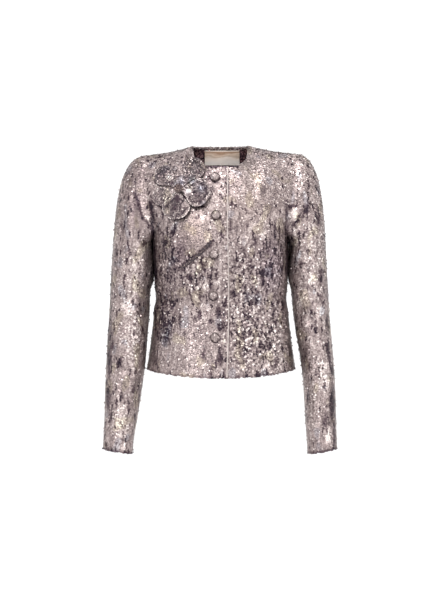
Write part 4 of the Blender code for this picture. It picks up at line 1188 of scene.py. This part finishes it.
def tones_at(points, rng):
    """The tone and the grain of each sequin: streaks, dashes, listed patches, and chance."""
    tone = BASE_TONE + DRIFT * noise_at(points, "drift")
    tone += STREAK * noise_at(points, "streak")
    fleck = FLECK * noise_at(points, "fleck")
    across, up, behind = seen_places(points)
    level = np.full(len(points), DASH_LEVEL)
    grain = np.full(len(points), GRAIN)
    # Patches of the jacket's own tone, some of them painted light and shade.
    for *place, change, more_grain, more_dashes in PATTERN_AND_LIGHT_AREAS:
        inside = patch(across, up, *place)
        tone += change * inside
        grain += more_grain * inside
        level -= more_dashes * inside
    for x, z in BUTTONS:
        away = np.hypot(points[:, 0] - x, points[:, 2] - z)
        level += BUTTON_CALM * np.exp(-((away / BUTTON_CALM_REACH) ** 4))
        # Painted shadow round the button, strongest below it.
        below = 0.5 - 0.5 * np.clip((points[:, 2] - z) / BUTTON_RADIUS, -1, 1)
        ring = np.exp(-(((away - BUTTON_SHADOW_RING[0]) / BUTTON_SHADOW_RING[1]) ** 2))
        tone -= BUTTON_SHADOW_RING_DROP * (SHADOW_RING_ABOVE + (1 - SHADOW_RING_ABOVE) * below) * ring
    across = across + rng.normal(0.0, MARK_RAGGEDNESS, len(points))
    up = up + rng.normal(0.0, MARK_RAGGEDNESS, len(points))
    # Marks of the jacket's own sequins, some of them painted highlights and shade.
    for *place, change in PATTERN_AND_LIGHT_MARKS:
        tone += change * patch(across, up, *place)
    flat = np.stack((across, up), axis=1)
    # Painted shade, and one painted highlight, along lines on the front only.
    for x_0, z_0, x_1, z_1, half_width, change in PAINTED_SHADE_AND_HIGHLIGHT_LINES:
        start = np.array((x_0, z_0))
        run = np.array((x_1, z_1)) - start
        along = np.clip((flat - start) @ run / (run @ run), 0, 1)[:, None]
        away = ((flat - start - along * run) ** 2).sum(axis=1) / half_width ** 2
        tone += change * np.exp(-(away ** 2)) * ~behind
    tone -= DASH_DROP * np.clip((noise_at(points, "dash") - level) / DASH_EDGE, 0, 1)
    grain = np.maximum(grain, LEAST_GRAIN)
    tone += fleck * grain / GRAIN
    tone += rng.normal(0.0, 1.0, len(points)) * grain
    sparkle = rng.uniform(0, 1, len(points)) < SPARKLE_SHARE * grain / GRAIN
    tone += SPARKLE_RISE * sparkle
    return np.clip(tone, 0, 1), grain


def colours_of(tone, points):
    """Linear colours for tones, with a few patches of blue and olive tint."""
    channels = [np.interp(tone, TONE_STOPS["tone"], TONE_STOPS[name])
                for name in ("red", "green", "blue")]
    colour = np.stack(channels, axis=1)
    tint = noise_at(points, "tint")[:, None]
    blue = np.clip((tint - BLUE_FROM) / TINT_EDGE, 0, 1)
    olive = np.clip((OLIVE_FROM - tint) / TINT_EDGE, 0, 1)
    colour *= 1 + blue * (np.array(BLUE_TINT) - 1)
    colour *= 1 + olive * (np.array(OLIVE_TINT) - 1)
    front = points[:, 1] < BACK_FROM_Y
    for x, z, half_width, half_height, *tint in TINT_PATCHES:
        away = ((points[:, 0] - x) / half_width) ** 2 + ((points[:, 2] - z) / half_height) ** 2
        colour *= 1 + (front * np.exp(-away))[:, None] * (np.array(tint) - 1)
    return colour


def circled(first, second, turn):
    """Points of a circle of radius 1 between two directions, for angles in radians."""
    return np.cos(turn)[..., None] * first + np.sin(turn)[..., None] * second


def turns(count):
    """Angles in radians, evenly round a circle."""
    return np.arange(count) / count * 2 * np.pi


def tint_points(made, colours, corners):
    """Gives every point of each disc or bead its colour, which the looks read."""
    tinted = np.ones((len(colours), corners, 4), dtype=np.float32)
    tinted[..., :3] = colours[:, None]
    layer = made.data.color_attributes.new("tone", "FLOAT_COLOR", "POINT")
    layer.data.foreach_set("color", tinted.ravel())


def sequins(name, centres, normals, radii, tilt, hang, colours, look, rng):
    """Many small discs in one mesh, each with its own colour and its own bake cell."""
    count = len(centres)
    across = unit(np.cross((0.0, 0.0, 1.0), normals) + (TINY, 0.0, 0.0))
    down = np.cross(across, normals)
    lean = rng.normal(0.0, 1.0, (count, 2)) * np.reshape(tilt, (-1, 1))
    facing = unit(normals + lean[:, :1] * across + (lean[:, 1:] - hang) * down)
    first = unit(np.cross(facing, down))
    second = np.cross(facing, first)
    turn = turns(SEQUIN_SIDES)[None, :] + rng.uniform(0, 2 * np.pi, (count, 1))
    rim = centres[:, None] + radii[:, None, None] * circled(first[:, None], second[:, None], turn)
    faces = np.arange(count * SEQUIN_SIDES).reshape(count, SEQUIN_SIDES)
    made = build_mesh(name, rim.reshape(-1, 3), faces, [look])
    tint_points(made, colours, SEQUIN_SIDES)

    side = math.ceil(math.sqrt(count))
    cell = np.stack((np.arange(count) % side, np.arange(count) // side), axis=1)
    star = circled(np.array((1.0, 0.0)), np.array((0.0, 1.0)), turns(SEQUIN_SIDES))
    spots = (cell[:, None] + 0.5 + BAKE_CELL_SHARE * star[None]) / side
    layer = made.data.uv_layers.new(name="OFBake")
    layer.data.foreach_set("uv", spots.reshape(-1, 2)[faces.ravel()].astype(np.float32).ravel())
    return made


def sew_panel(name, grid, normals, look, rng):
    """Sequins all over one panel, and a fringe of them along its lower edge."""
    level, column = sewing_places(grid, SEQUIN_PITCH, rng)
    width = np.linalg.norm(np.diff(grid[0], axis=0), axis=1).sum()
    fringe = int(width / FRINGE_PITCH)
    level = np.concatenate((level, np.zeros(fringe)))
    column = np.concatenate((column, rng.uniform(0, grid.shape[1] - 1, fringe)))
    outward = unit(between(normals, level, column))
    loose = rng.uniform(0, 1, len(level)) < LOOSE_SHARE
    lift = rng.uniform(*SEQUIN_LIFT, len(level)) + LOOSE_LIFT * loose
    places = between(grid, level, column) + lift[:, None] * outward
    places[len(places) - fringe:, 2] -= rng.uniform(0, FRINGE_HANG, fringe)
    tone, grain = tones_at(places, rng)
    height = level * np.linalg.norm(grid[1] - grid[0], axis=1).mean()
    drop = EDGE_DROP["sleeve" if name.startswith("sleeve") else "body"]
    tone = np.clip(tone - drop * np.exp(-((height / EDGE_REACH) ** 2)), 0, 1)
    radii = rng.uniform(*SEQUIN_RADIUS, len(level)) * (1 + COARSE_GROWTH * (grain - GRAIN))
    tilt = SEQUIN_TILT + GRAIN_TILT * (grain - GRAIN) + LOOSE_TILT * loose
    colours = colours_of(tone, places)
    return sequins(name, places, outward, radii, tilt, SEQUIN_HANG, colours, look, rng)


def raised(drape, spots, reach=NORMAL_REACH):
    """Points over a panel and their outward normals, for rows of x, z and height."""
    found = [drape.at(x, z, reach) for x, z, _ in spots]
    points = [point + normal * height for (point, normal), (_, _, height) in zip(found, spots)]
    return np.array(points), np.array([normal for _, normal in found])


def disc_points(drape, outline, lift_of, around, rings):
    """Points and normals of a disc laid over a panel, its middle first and its rim last."""
    places = [(0.0, 0.0)]
    for ring in range(1, rings + 1):
        places += [(ring / rings, step / around) for step in range(around)]
    return raised(drape, [(*outline(*place), lift_of(*place)) for place in places])


def disc_solid(name, top, bottom, around, rings, look):
    """A closed disc between an upper and a lower set of disc points."""
    half = len(top)
    faces = []

    def index(ring, step):
        return 1 + (ring - 1) * around + step % around

    for step in range(around):
        a, b = index(1, step), index(1, step + 1)
        faces.append((0, a, b))
        faces.append((half, half + b, half + a))
        for ring in range(1, rings):
            a, b = index(ring, step), index(ring + 1, step)
            c, d = index(ring + 1, step + 1), index(ring, step + 1)
            faces += [(a, b, c), (a, c, d)]
            faces += [(half + c, half + b, half + a), (half + d, half + c, half + a)]
        a, b = index(rings, step), index(rings, step + 1)
        faces += [(b, a, half + a), (b, half + a, half + b)]
    return solid_mesh(name, np.concatenate((top, bottom)), faces, [look])


def beads(name, centres, normals, radius, colours, look):
    """Small round beads in one mesh: six sides, and a cap above and below the widest ring."""
    count = len(centres)
    first = unit(np.cross(normals, BEAD_TURNED_FROM))
    second = np.cross(normals, first)
    spread = circled(first[:, None], second[:, None], turns(SEQUIN_SIDES))
    rows = [centres[:, None] + radius * normals[:, None]]
    for height in (BEAD_RING_HEIGHT, -BEAD_RING_HEIGHT):
        rim = BEAD_RING_RADIUS * spread + height * normals[:, None]
        rows.append(centres[:, None] + radius * rim)
    rows.append(centres[:, None] - radius * normals[:, None])
    vertices = np.concatenate(rows, axis=1).reshape(-1, 3)
    step = np.arange(SEQUIN_SIDES)
    after = (step + 1) % SEQUIN_SIDES
    upper, lower = 1, 1 + SEQUIN_SIDES
    last = lower + SEQUIN_SIDES
    fan = np.concatenate((
        np.stack((0 * step, upper + step, upper + after), axis=1),
        np.stack((upper + step, lower + step, lower + after), axis=1),
        np.stack((upper + step, lower + after, upper + after), axis=1),
        np.stack((0 * step + last, lower + after, lower + step), axis=1),
    ))
    corners = last + 1
    faces = (fan[None] + corners * np.arange(count)[:, None, None]).reshape(-1, 3)
    made = build_mesh(name, vertices, faces, [look])
    tint_points(made, colours, corners)
    return made


def petal_shape(angle, distance, length, breadth):
    """The outline of a petal, pointed at the flower's middle."""
    out = math.radians(angle)
    direction = np.array((math.cos(out), math.sin(out)))
    sideways = np.array((-direction[1], direction[0]))
    middle = np.array(FLOWER_CENTRE) + distance * direction
    tail = distance - PETAL_ROOT - length

    def outline(size, share):
        turn = 2 * math.pi * share
        inward = max(0.0, -math.cos(turn))
        along = (length + tail * inward ** PETAL_POINT_POWER) * math.cos(turn)
        across = breadth * math.sin(turn) * (1 - PETAL_WAIST * inward ** 2)
        return middle + size * (along * direction + across * sideways)

    return outline


def petal_lift(lift, rise):
    """The height of a petal's underside over the panel: its outer rim turns up."""
    def height(size, share):
        outward = 0.5 + 0.5 * math.cos(2 * math.pi * share)
        return lift + rise * size ** RIM_RISE_POWER * outward ** RIM_SPREAD_POWER

    return height


def petal_sequins(name, drape, outline, height, length, breadth, look, rng):
    """Rings of sequins over a petal, with a pale rim and a dark groove of painted light and shade,
    and its own patches, some painted highlights and shade.
    """
    own_tone, ring_strength, _ = PETAL_SHADES[name]
    spots = []
    tone = []
    rings = int(max(length, breadth) / PETAL_PITCH)
    for ring in range(rings + 1):
        size = ring / rings
        count = max(1, int(math.pi * (length + breadth) * size / PETAL_PITCH))
        for step in range(count):
            share = (step + rng.uniform(0, PETAL_SHIFT)) / count
            wander = size + rng.uniform(-PETAL_WANDER, PETAL_WANDER) / rings
            wander = min(wander, 1.0) if ring < rings else 1.0
            x, z = outline(wander, share)
            lift = PETAL_WALL + rng.uniform(*PETAL_SEQUIN_LIFT)
            spots.append((x, z, height(wander, share) + lift))
            uneven = RIM_UNEVENNESS * noise.noise(Vector((x, z, 0.0)) / RIM_WAVE)
            place = np.clip(wander + uneven, 0, 1)
            # Painted shade in the groove and painted light on the rim, ring by ring.
            ring_shading = np.interp(place, PETAL_RING_SHADING["size"], PETAL_RING_SHADING["tone"])
            tone.append(own_tone + ring_shading * ring_strength)
    centres, outward = raised(drape, spots)
    tone = np.array(tone) + rng.normal(0, PETAL_GRAIN, len(tone))
    tone += PETAL_MOTTLE * noise_at(centres, "petal")
    # Painted highlights and shade, and the petals' own mottling.
    for petal, x, z, reach, patch_tone, most in PETAL_GLEAMS_AND_PATCHES:
        share = most * patch(centres[:, 0], centres[:, 2], x, z, reach, reach) * (petal == name)
        tone = tone * (1 - share) + patch_tone * share
    colours = colours_of(np.clip(tone, 0, 1), centres)
    radii = rng.uniform(*PETAL_SEQUIN_RADIUS, len(tone))
    return sequins(name + "_sequins", centres, outward, radii, PETAL_TILT, 0.0, colours, look, rng)


def petal_shadow_beads(name, drape, outline, height, length, breadth, look, rng):
    """Dark beads all round a petal, standing in for the shadow under its rim: painted shadow."""
    count = int(math.pi * (length + breadth) / (2 * SHADOW_BEAD_RADIUS))
    grown = 1 + SHADOW_BEAD_GROWTH / (length + breadth)
    shares = [step / count for step in range(count)]
    spots = [(*outline(grown, share), height(1.0, share) + SHADOW_BEAD_LIFT) for share in shares]
    centres, outward = raised(drape, spots)
    tone = np.clip(PETAL_SHADES[name][2] + rng.normal(0, SHADOW_BEAD_GRAIN, count), 0, 1)
    colours = colours_of(tone, centres)
    return beads(name + "_shadow_beads", centres, outward, SHADOW_BEAD_RADIUS, colours, look)


def make_petals(drape, looks, rng):
    for name, angle, distance, length, breadth, lift, rise in PETALS:
        outline = petal_shape(angle, distance, length, breadth)
        height = petal_lift(lift, rise)
        bottom, normals = disc_points(drape, outline, height, PETAL_AROUND, PETAL_RINGS)
        top = bottom + PETAL_WALL * normals
        cloth = disc_solid(name + "_cloth", top, bottom, PETAL_AROUND, PETAL_RINGS, looks["petal"])
        petal = (name, drape, outline, height, length, breadth)
        sewn = petal_sequins(*petal, looks["sequin"], rng)
        shadow_beads = petal_shadow_beads(*petal, looks["bead"], rng)
        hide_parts(name)


def make_flower_centre(drape, looks, rng):
    """A mound of beads over the middle of the flower."""
    def outline(size, share):
        turn = 2 * math.pi * share
        reach = size * FLOWER_CENTRE_RADIUS
        return np.array(FLOWER_CENTRE) + reach * np.array((math.cos(turn), math.sin(turn)))

    def dome(size, share):
        return FLOWER_CENTRE_LIFT + MOUND_WALL + (FLOWER_CENTRE_RISE - MOUND_DROP) * (1 - size * size)

    grid = (MOUND_AROUND, MOUND_RINGS)
    top, _ = disc_points(drape, outline, dome, *grid)
    bottom, _ = disc_points(drape, outline, lambda size, share: FLOWER_CENTRE_LIFT, *grid)
    base = disc_solid("flower_middle", top, bottom, *grid, looks["petal"])
    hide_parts("flower_centre")
    spots = []
    for ring in range(MOUND_RINGS):
        size = ring / MOUND_SPREAD
        count = max(1, int(2 * math.pi * ring * MOUND_COUNT))
        for step in range(count):
            share = step / count + MOUND_TURN * ring
            spots.append((*outline(size, share), dome(size, share) + MOUND_LIFT))
    centres, outward = raised(drape, spots)
    tone = np.clip(MOUND_TONE + rng.normal(0, MOUND_GRAIN, len(centres)), 0, 1)
    colours = colours_of(tone, centres) * np.array(MOUND_TINT)
    mound = beads("flower_beads", centres, outward, MOUND_BEAD_RADIUS, colours, looks["bead"])


def make_beaded_line(drape, looks, rng):
    """A padded cord edged on both sides with dark beads, with a paler row along its middle."""
    start = np.array(LINE_START)
    run = np.array(LINE_END) - start
    sideways = np.array((-run[1], run[0])) / np.linalg.norm(run)
    rows = []
    bead_places = []
    for step in range(LINE_STEPS + 1):
        share = step / LINE_STEPS
        taper = min(1.0, LINE_END_WIDTH + LINE_TAPER * math.sin(math.pi * share))
        middle = start + share * run + LINE_BOW * math.sin(math.pi * share) * sideways
        row = []
        for across, up in LINE_PROFILE:
            point, normal = drape.at(*(middle + across * LINE_WIDTH * taper * sideways))
            rise = LINE_BASE + (LINE_HEIGHT - LINE_BASE) * up * taper
            top = point + normal * (LAY_GAP + rise)
            row.append((top, point + normal * LAY_GAP))
            if up > 0 and rng.uniform() < LINE_BEAD_SHARE:
                shade = LINE_TONES["middle" if across == 0 else "side"]
                shade -= LINE_END_DROP * (share < LINE_END_SHARE)
                bead_places.append((top + rng.normal(0, LINE_SWAY, 3), normal, shade))
        rows.append(row[::-1])
    grid = np.array(rows)
    cord = shell("line_cord", grid[:, :, 0], grid[:, :, 1], looks["petal"], looks["petal"])
    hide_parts("beaded_line")
    centres, outward, tone = (np.array(values) for values in zip(*bead_places))
    tone = np.clip(tone + rng.normal(0, LINE_GRAIN, len(tone)), 0, 1)
    colours = colours_of(tone, centres) * np.array(LINE_TINT)
    row = beads("line_beads", centres, outward, LINE_BEAD_RADIUS, colours, looks["bead"])


def button_profile():
    """Radius and height of a button's cover, from its top over the rolled rim to its base."""
    dome = BUTTON_HEIGHT - BUTTON_RIM_HEIGHT
    profile = [(BUTTON_AXIS_RADIUS, BUTTON_HEIGHT)]
    for step in range(1, BUTTON_DOME_STEPS + 1):
        turn = math.radians(90 * step / BUTTON_DOME_STEPS)
        profile.append((BUTTON_RADIUS * math.sin(turn), BUTTON_RIM_HEIGHT + dome * math.cos(turn)))
    profile += [
        (BUTTON_RADIUS * BUTTON_ROLL["radius"], BUTTON_RIM_HEIGHT * BUTTON_ROLL["height"]),
        (BUTTON_BASE_RADIUS, BUTTON_NECK_HEIGHT),
        (BUTTON_BASE_RADIUS, 0.0),
        (BUTTON_AXIS_RADIUS, 0.0),
    ]
    return profile


def button_sequins(name, point, axes, look, rng):
    """Rings of sequins over a button's dome, with painted light and shade: paler toward its top edge
    and darker at its rim.
    """
    across, up, normal = axes
    dome = BUTTON_HEIGHT - BUTTON_RIM_HEIGHT
    base = point + normal * LAY_GAP
    centres = []
    outward = []
    for ring in range(BUTTON_SEQUIN_RINGS):
        size = ring / (BUTTON_SEQUIN_RINGS - 1) * BUTTON_SEWN_SHARE
        count = max(1, round(2 * math.pi * BUTTON_RADIUS * size / BUTTON_SEQUIN_PITCH))
        for step in range(count):
            turn = 2 * math.pi * (step + 0.5 * (ring % 2)) / count
            lean = math.radians(90) * size
            side = math.cos(turn) * across + math.sin(turn) * up
            place = base + BUTTON_RADIUS * math.sin(lean) * side
            place = place + (BUTTON_RIM_HEIGHT + dome * math.cos(lean)) * normal
            face = unit(math.sin(lean) * side + BUTTON_FACE_UP * math.cos(lean) * normal)
            centres.append(place + BUTTON_SEQUIN_LIFT * face)
            outward.append(face)
    centres = np.array(centres)
    high = (centres[:, 2] - point[2]) / BUTTON_RADIUS
    wide = np.hypot(centres[:, 0] - point[0], centres[:, 2] - point[2]) / BUTTON_RADIUS
    # Painted light and shade: a pale middle and top, a dark rim.
    tone = np.interp(wide, BUTTON_PAINTED_SHADING["wide"], BUTTON_PAINTED_SHADING["tone"])
    tone += BUTTON_PAINTED_TOP_LIGHT * high + rng.normal(0, SMALL_GRAIN, len(centres))
    radii = rng.uniform(*SMALL_SEQUIN_RADIUS, len(centres))
    colours = colours_of(np.clip(tone, 0, 1), centres)
    return sequins(name, centres, np.array(outward), radii, BUTTON_TILT, 0.0, colours, look, rng)


def make_buttons(drape, looks, rng):
    """Domes covered with sequin cloth, each with a rolled rim."""
    for number, (x, z) in enumerate(BUTTONS, start=1):
        point, normal = drape.at(x, z)
        base = point + normal * LAY_GAP
        across = unit(np.cross((0.0, 0.0, 1.0), normal))
        up = np.cross(normal, across)
        circle = circled(across, up, np.arange(BUTTON_AROUND + 1) / BUTTON_AROUND * 2 * np.pi)
        grid = np.array([base + radius * circle + height * normal
                         for radius, height in button_profile()])
        faces = grid_faces(*grid.shape[:2])[1][:, (0, 3, 2, 1)]
        cover = build_mesh(f"button_cover_{number}", grid.reshape(-1, 3), faces, [looks["button"]])
        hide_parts(f"button_{number}")
        axes = (across, up, normal)
        sewn = button_sequins(f"button_sequins_{number}", point, axes, looks["sequin"], rng)


def make_highlight_cord(panels, looks):
    """A pale cord along the edge of the right front, from the neck to the hem: a painted highlight
    where light catches the lapped edge.
    """
    grid, normals = panels["front_band"]
    outward = normals[::2, -1]
    line = grid[::2, -1] + HIGHLIGHT_CORD_LIFT * outward
    side = unit(np.cross(unit(np.gradient(line, axis=0)), outward))
    turn = np.arange(HIGHLIGHT_CORD_AROUND + 1) / HIGHLIGHT_CORD_AROUND * 2 * np.pi
    tube = (line + HIGHLIGHT_CORD_RADIUS * circled(side, outward, turn[:, None])).transpose(1, 0, 2)
    faces = grid_faces(*tube.shape[:2])[1]
    highlight_cord = build_mesh("front_highlight_cord", tube.reshape(-1, 3), faces, [looks["highlight_cord"]])


def make_facing(panels, looks, rng):
    """The sequinned facing inside the back neck. Gives the grid of its inner face."""
    left_part = slice(SHOULDER_COLUMNS + FINE, None)
    right_part = slice(1, NECK_COLUMNS - FINE + 1)
    rows = slice(-(FACING_ROWS - FINE + 1), None)
    grid, normals = (np.concatenate((left[rows, left_part], right[rows, right_part]), axis=1)
                     for left, right in zip(panels["back_left"], panels["back_right"]))
    outer = grid - (WALL + LAY_GAP) * normals
    inner = outer - FACING_WALL * normals
    facing = shell("facing_cloth", outer, inner, looks["facing"], looks["facing"])
    level, column = sewing_places(inner, SEQUIN_PITCH, rng)
    inward = -unit(between(normals, level, column))
    places = between(inner, level, column) + FACING_LIFT * inward
    keep = (places[:, 0] <= LABEL_BOX["left"]) | (places[:, 0] >= LABEL_BOX["right"])
    keep |= (places[:, 2] <= LABEL_BOX["bottom"]) | (places[:, 2] >= LABEL_BOX["top"])
    places, inward = places[keep], inward[keep]
    above = np.clip((places[:, 2] - LABEL_BOX["top"]) / FACING_EDGE, 0, 1)
    speck = rng.uniform(0, 1, len(places)) < FACING_SPECKS
    tone = FACING_TONES["ground"] + FACING_TONES["edge"] * above + FACING_TONES["speck"] * speck
    tone += rng.normal(0, SMALL_GRAIN, len(places))
    tint = 1 + (1 - above)[:, None] * (np.array(FACING_TINT) - 1)
    radii = rng.uniform(*SMALL_SEQUIN_RADIUS, len(places))
    colours = colours_of(np.clip(tone, 0, 1), places) * tint
    sewn = sequins("facing_sequins", places, inward, radii, FACING_TILT, 0.0, colours,
                   looks["sequin"], rng)
    declare_sheet(inner, ["neck_facing"])
    return inner


def make_label(facing, looks):
    """The bare satin label on the facing."""
    drape = Drape([facing], -1)
    places = np.linspace(LABEL_BOX["right"], LABEL_BOX["left"], FINE * LABEL_COLUMNS)
    heights = np.linspace(LABEL_BOX["bottom"], LABEL_BOX["top"], FINE * LABEL_ROWS)
    outer, inner = (
        np.array([raised(drape, [(x, z, -gap) for x in places], LABEL_NORMAL_REACH)[0]
                  for z in heights])
        for gap in (LABEL_GAP, LABEL_GAP + LABEL_WALL)
    )
    label = shell("label_satin", outer, inner, looks["label"], looks["label"])
    declare_sheet(inner, ["label"])


def feed(tree, entry, value):
    """Joins an input to another node's output, or gives it a constant."""
    if isinstance(value, bpy.types.NodeSocket):
        tree.links.new(value, entry)
    else:
        entry.default_value = value


def node(tree, kind, *fed, **values):
    """A shader node. What is fed goes to its inputs in turn, and values name inputs or settings."""
    made = tree.nodes.new(kind)
    for name, value in values.items():
        label = name.replace("_", " ")
        if label in made.inputs:
            feed(tree, made.inputs[label], value)
        else:
            setattr(made, name, value)
    for entry, value in zip(made.inputs, fed):
        feed(tree, entry, value)
    return made


def ramp(tree, source, stops):
    """The colour that a ramp gives for a source. Each stop is a place and a colour."""
    made = node(tree, "ShaderNodeValToRGB", source)
    for number, (place, colour) in enumerate(stops):
        if number < 2:
            stop = made.color_ramp.elements[number]
            stop.position = place
        else:
            stop = made.color_ramp.elements.new(place)
        stop.color = (*colour, 1.0)
    return made.outputs["Color"]


def new_look(name, roughness, metallic):
    """A new material, its nodes, its shader's inputs and a texture place on the object."""
    made = bpy.data.materials.new(name)
    made.use_nodes = True
    tree = made.node_tree
    inputs = tree.nodes["Principled BSDF"].inputs
    inputs["Roughness"].default_value = roughness
    inputs["Metallic"].default_value = metallic
    return made, tree, inputs, node(tree, "ShaderNodeTexCoord").outputs["Object"]


def sequin_look(name, roughness, metallic):
    """Foil discs: the colour of each comes with the mesh, and fine scratches vary the gloss."""
    made, tree, inputs, place = new_look(name, roughness, metallic)
    tone = node(tree, "ShaderNodeVertexColor", layer_name="tone")
    feed(tree, inputs["Base Color"], tone.outputs["Color"])
    scratch = node(tree, "ShaderNodeTexNoise", Vector=place, Scale=700.0, Detail=2.0)
    spread = node(tree, "ShaderNodeMapRange", scratch.outputs["Fac"],
                  To_Min=roughness - 0.10, To_Max=roughness + 0.14)
    feed(tree, inputs["Roughness"], spread.outputs["Result"])
    return made


def cloth_look(name, dark, pale, roughness, metallic, scale, depth):
    """Woven cloth: a fine crossed weave in colour and bump, over slow uneven shade."""
    made, tree, inputs, place = new_look(name, roughness, metallic)
    shade = node(tree, "ShaderNodeTexNoise", Vector=place, Scale=60.0, Detail=4.0)
    warp, weft = (node(tree, "ShaderNodeTexWave", Vector=place, Scale=scale, Distortion=1.2,
                       bands_direction=axis) for axis in "XZ")
    cross = node(tree, "ShaderNodeMath", warp.outputs["Fac"], weft.outputs["Fac"],
                 operation="MAXIMUM").outputs["Value"]
    mixed = node(tree, "ShaderNodeMath", shade.outputs["Fac"], cross, operation="MULTIPLY")
    colour = ramp(tree, mixed.outputs["Value"], ((0.1, dark), (0.75, pale)))
    feed(tree, inputs["Base Color"], colour)
    bump = node(tree, "ShaderNodeBump", Strength=depth, Distance=0.0003, Height=cross)
    feed(tree, inputs["Normal"], bump.outputs["Normal"])
    return made


def label_look():
    """Satin: pale below, with painted shade, brown, at the top, a smear between and pale raw edges.
    """
    made, tree, inputs, place = new_look("label satin", 0.40, 0.0)
    parts = node(tree, "ShaderNodeSeparateXYZ", place)
    stretch = node(tree, "ShaderNodeMapping", Vector=place, Scale=LABEL_SMEAR_SIZE)
    smear = node(tree, "ShaderNodeTexNoise", Vector=stretch.outputs["Vector"], Scale=1.0, Detail=3.0)
    height = node(tree, "ShaderNodeMapRange", parts.outputs["Z"],
                  From_Min=LABEL_BOX["bottom"] * MM, From_Max=LABEL_BOX["top"] * MM)
    height = height.outputs["Result"]
    shifted = node(tree, "ShaderNodeMath", smear.outputs["Fac"], LABEL_SMEAR, height,
                   operation="MULTIPLY_ADD")
    scaled = node(tree, "ShaderNodeMath", shifted.outputs["Value"], LABEL_COLOUR_AND_SHADE_SPAN,
                  operation="DIVIDE")
    stops = [(place / LABEL_COLOUR_AND_SHADE_SPAN, shade) for place, shade in LABEL_COLOUR_AND_SHADE]
    colour = ramp(tree, scaled.outputs["Value"], stops)
    border = ramp(tree, height, LABEL_BORDER)
    mixed = node(tree, "ShaderNodeMixRGB", border, colour, LABEL_EDGE_COLOUR)
    feed(tree, inputs["Base Color"], mixed.outputs["Color"])
    return made


def make_looks():
    looks = {look: cloth_look(*row) for look, *row in CLOTHS}
    looks["sequin"] = sequin_look("sequin foil", 0.32, 0.62)
    looks["bead"] = sequin_look("glass beads", 0.30, 0.25)
    looks["label"] = label_look()
    return looks


def placed(name, data):
    """A new object in the scene."""
    made = bpy.data.objects.new(name, data)
    bpy.context.scene.collection.objects.link(made)
    return made


def make_stage():
    """A pale floor well below the cuffs, soft lamps round the front, and white surroundings."""
    floor = bpy.data.meshes.new("studio_floor")
    reach = FLOOR_REACH * MM
    low = FLOOR_Z * MM
    corners = ((-reach, -reach, low), (reach, -reach, low), (reach, reach, low), (-reach, reach, low))
    floor.from_pydata(corners, [], [(0, 1, 2, 3)])
    made, tree, inputs, _ = new_look("pale floor", 0.9, 0.0)
    grain = node(tree, "ShaderNodeTexNoise", Scale=3.0, Detail=2.0)
    feed(tree, inputs["Base Color"], ramp(tree, grain.outputs["Fac"], FLOOR_SHADES))
    floor.materials.append(made)
    placed("studio_floor", floor)

    world = bpy.data.worlds.new("studio")
    world.use_nodes = True
    background = world.node_tree.nodes["Background"].inputs
    background["Color"].default_value = (1.0, 1.0, 1.0, 1.0)
    background["Strength"].default_value = WORLD_STRENGTH
    bpy.context.scene.world = world

    for name, place, size, energy in LAMPS:
        lamp = bpy.data.lights.new(name, "AREA")
        lamp.shape = "DISK"
        lamp.size = size
        lamp.energy = energy
        holder = placed(name, lamp)
        holder.location = place
        aim = Vector(LAMP_AIM) - Vector(place)
        holder.rotation_euler = aim.to_track_quat("-Z", "Y").to_euler()


def make_camera():
    """Level and straight in front, so that the photograph's frame is 1.32 m high at the jacket."""
    lens = bpy.data.cameras.new("camera")
    lens.sensor_fit = "VERTICAL"
    lens.sensor_height = SENSOR_HEIGHT
    lens.lens = SENSOR_HEIGHT * CAMERA_DISTANCE / FRAME_HEIGHT
    camera = placed("camera", lens)
    camera.location = (CAMERA_X, -CAMERA_DISTANCE, CAMERA_Z)
    camera.rotation_euler = (math.radians(90), 0.0, 0.0)
    bpy.context.scene.camera = camera
    bpy.context.scene.view_settings.view_transform = "Standard"


def make_panel(name, grid, normals, looks, rng):
    """The cloth wall of one panel and its sequins."""
    edges = PANEL_EDGES.get(name, ("first", "last"))
    outer = trimmed(grid, edges)
    inner = trimmed(grid - WALL * normals, edges)
    under = PANEL_LOOKS.get(name, "sleeve" if name.startswith("sleeve") else "cloth")
    cloth = shell(name + "_cloth", outer, inner, looks[under], looks["lining"])
    sewn = sew_panel(name + "_sequins", grid, normals, looks["sequin"], rng)
    declare_sheet(grid, [name])


def main():
    make_camera()
    make_stage()
    looks = make_looks()
    panels = {**front_panels(), **back_and_side_panels(), **sleeve_panels()}
    for number, (name, (grid, normals)) in enumerate(panels.items()):
        make_panel(name, grid, normals, looks, np.random.default_rng(SEED + number))
    rng = np.random.default_rng(SEED + len(panels))
    drape = Drape([panels["front_right"][0], panels["front_band"][0]], 1)
    make_petals(drape, looks, rng)
    make_flower_centre(drape, looks, rng)
    make_beaded_line(drape, looks, rng)
    make_buttons(drape, looks, rng)
    make_highlight_cord(panels, looks)
    make_label(make_facing(panels, looks, rng), looks)


main()
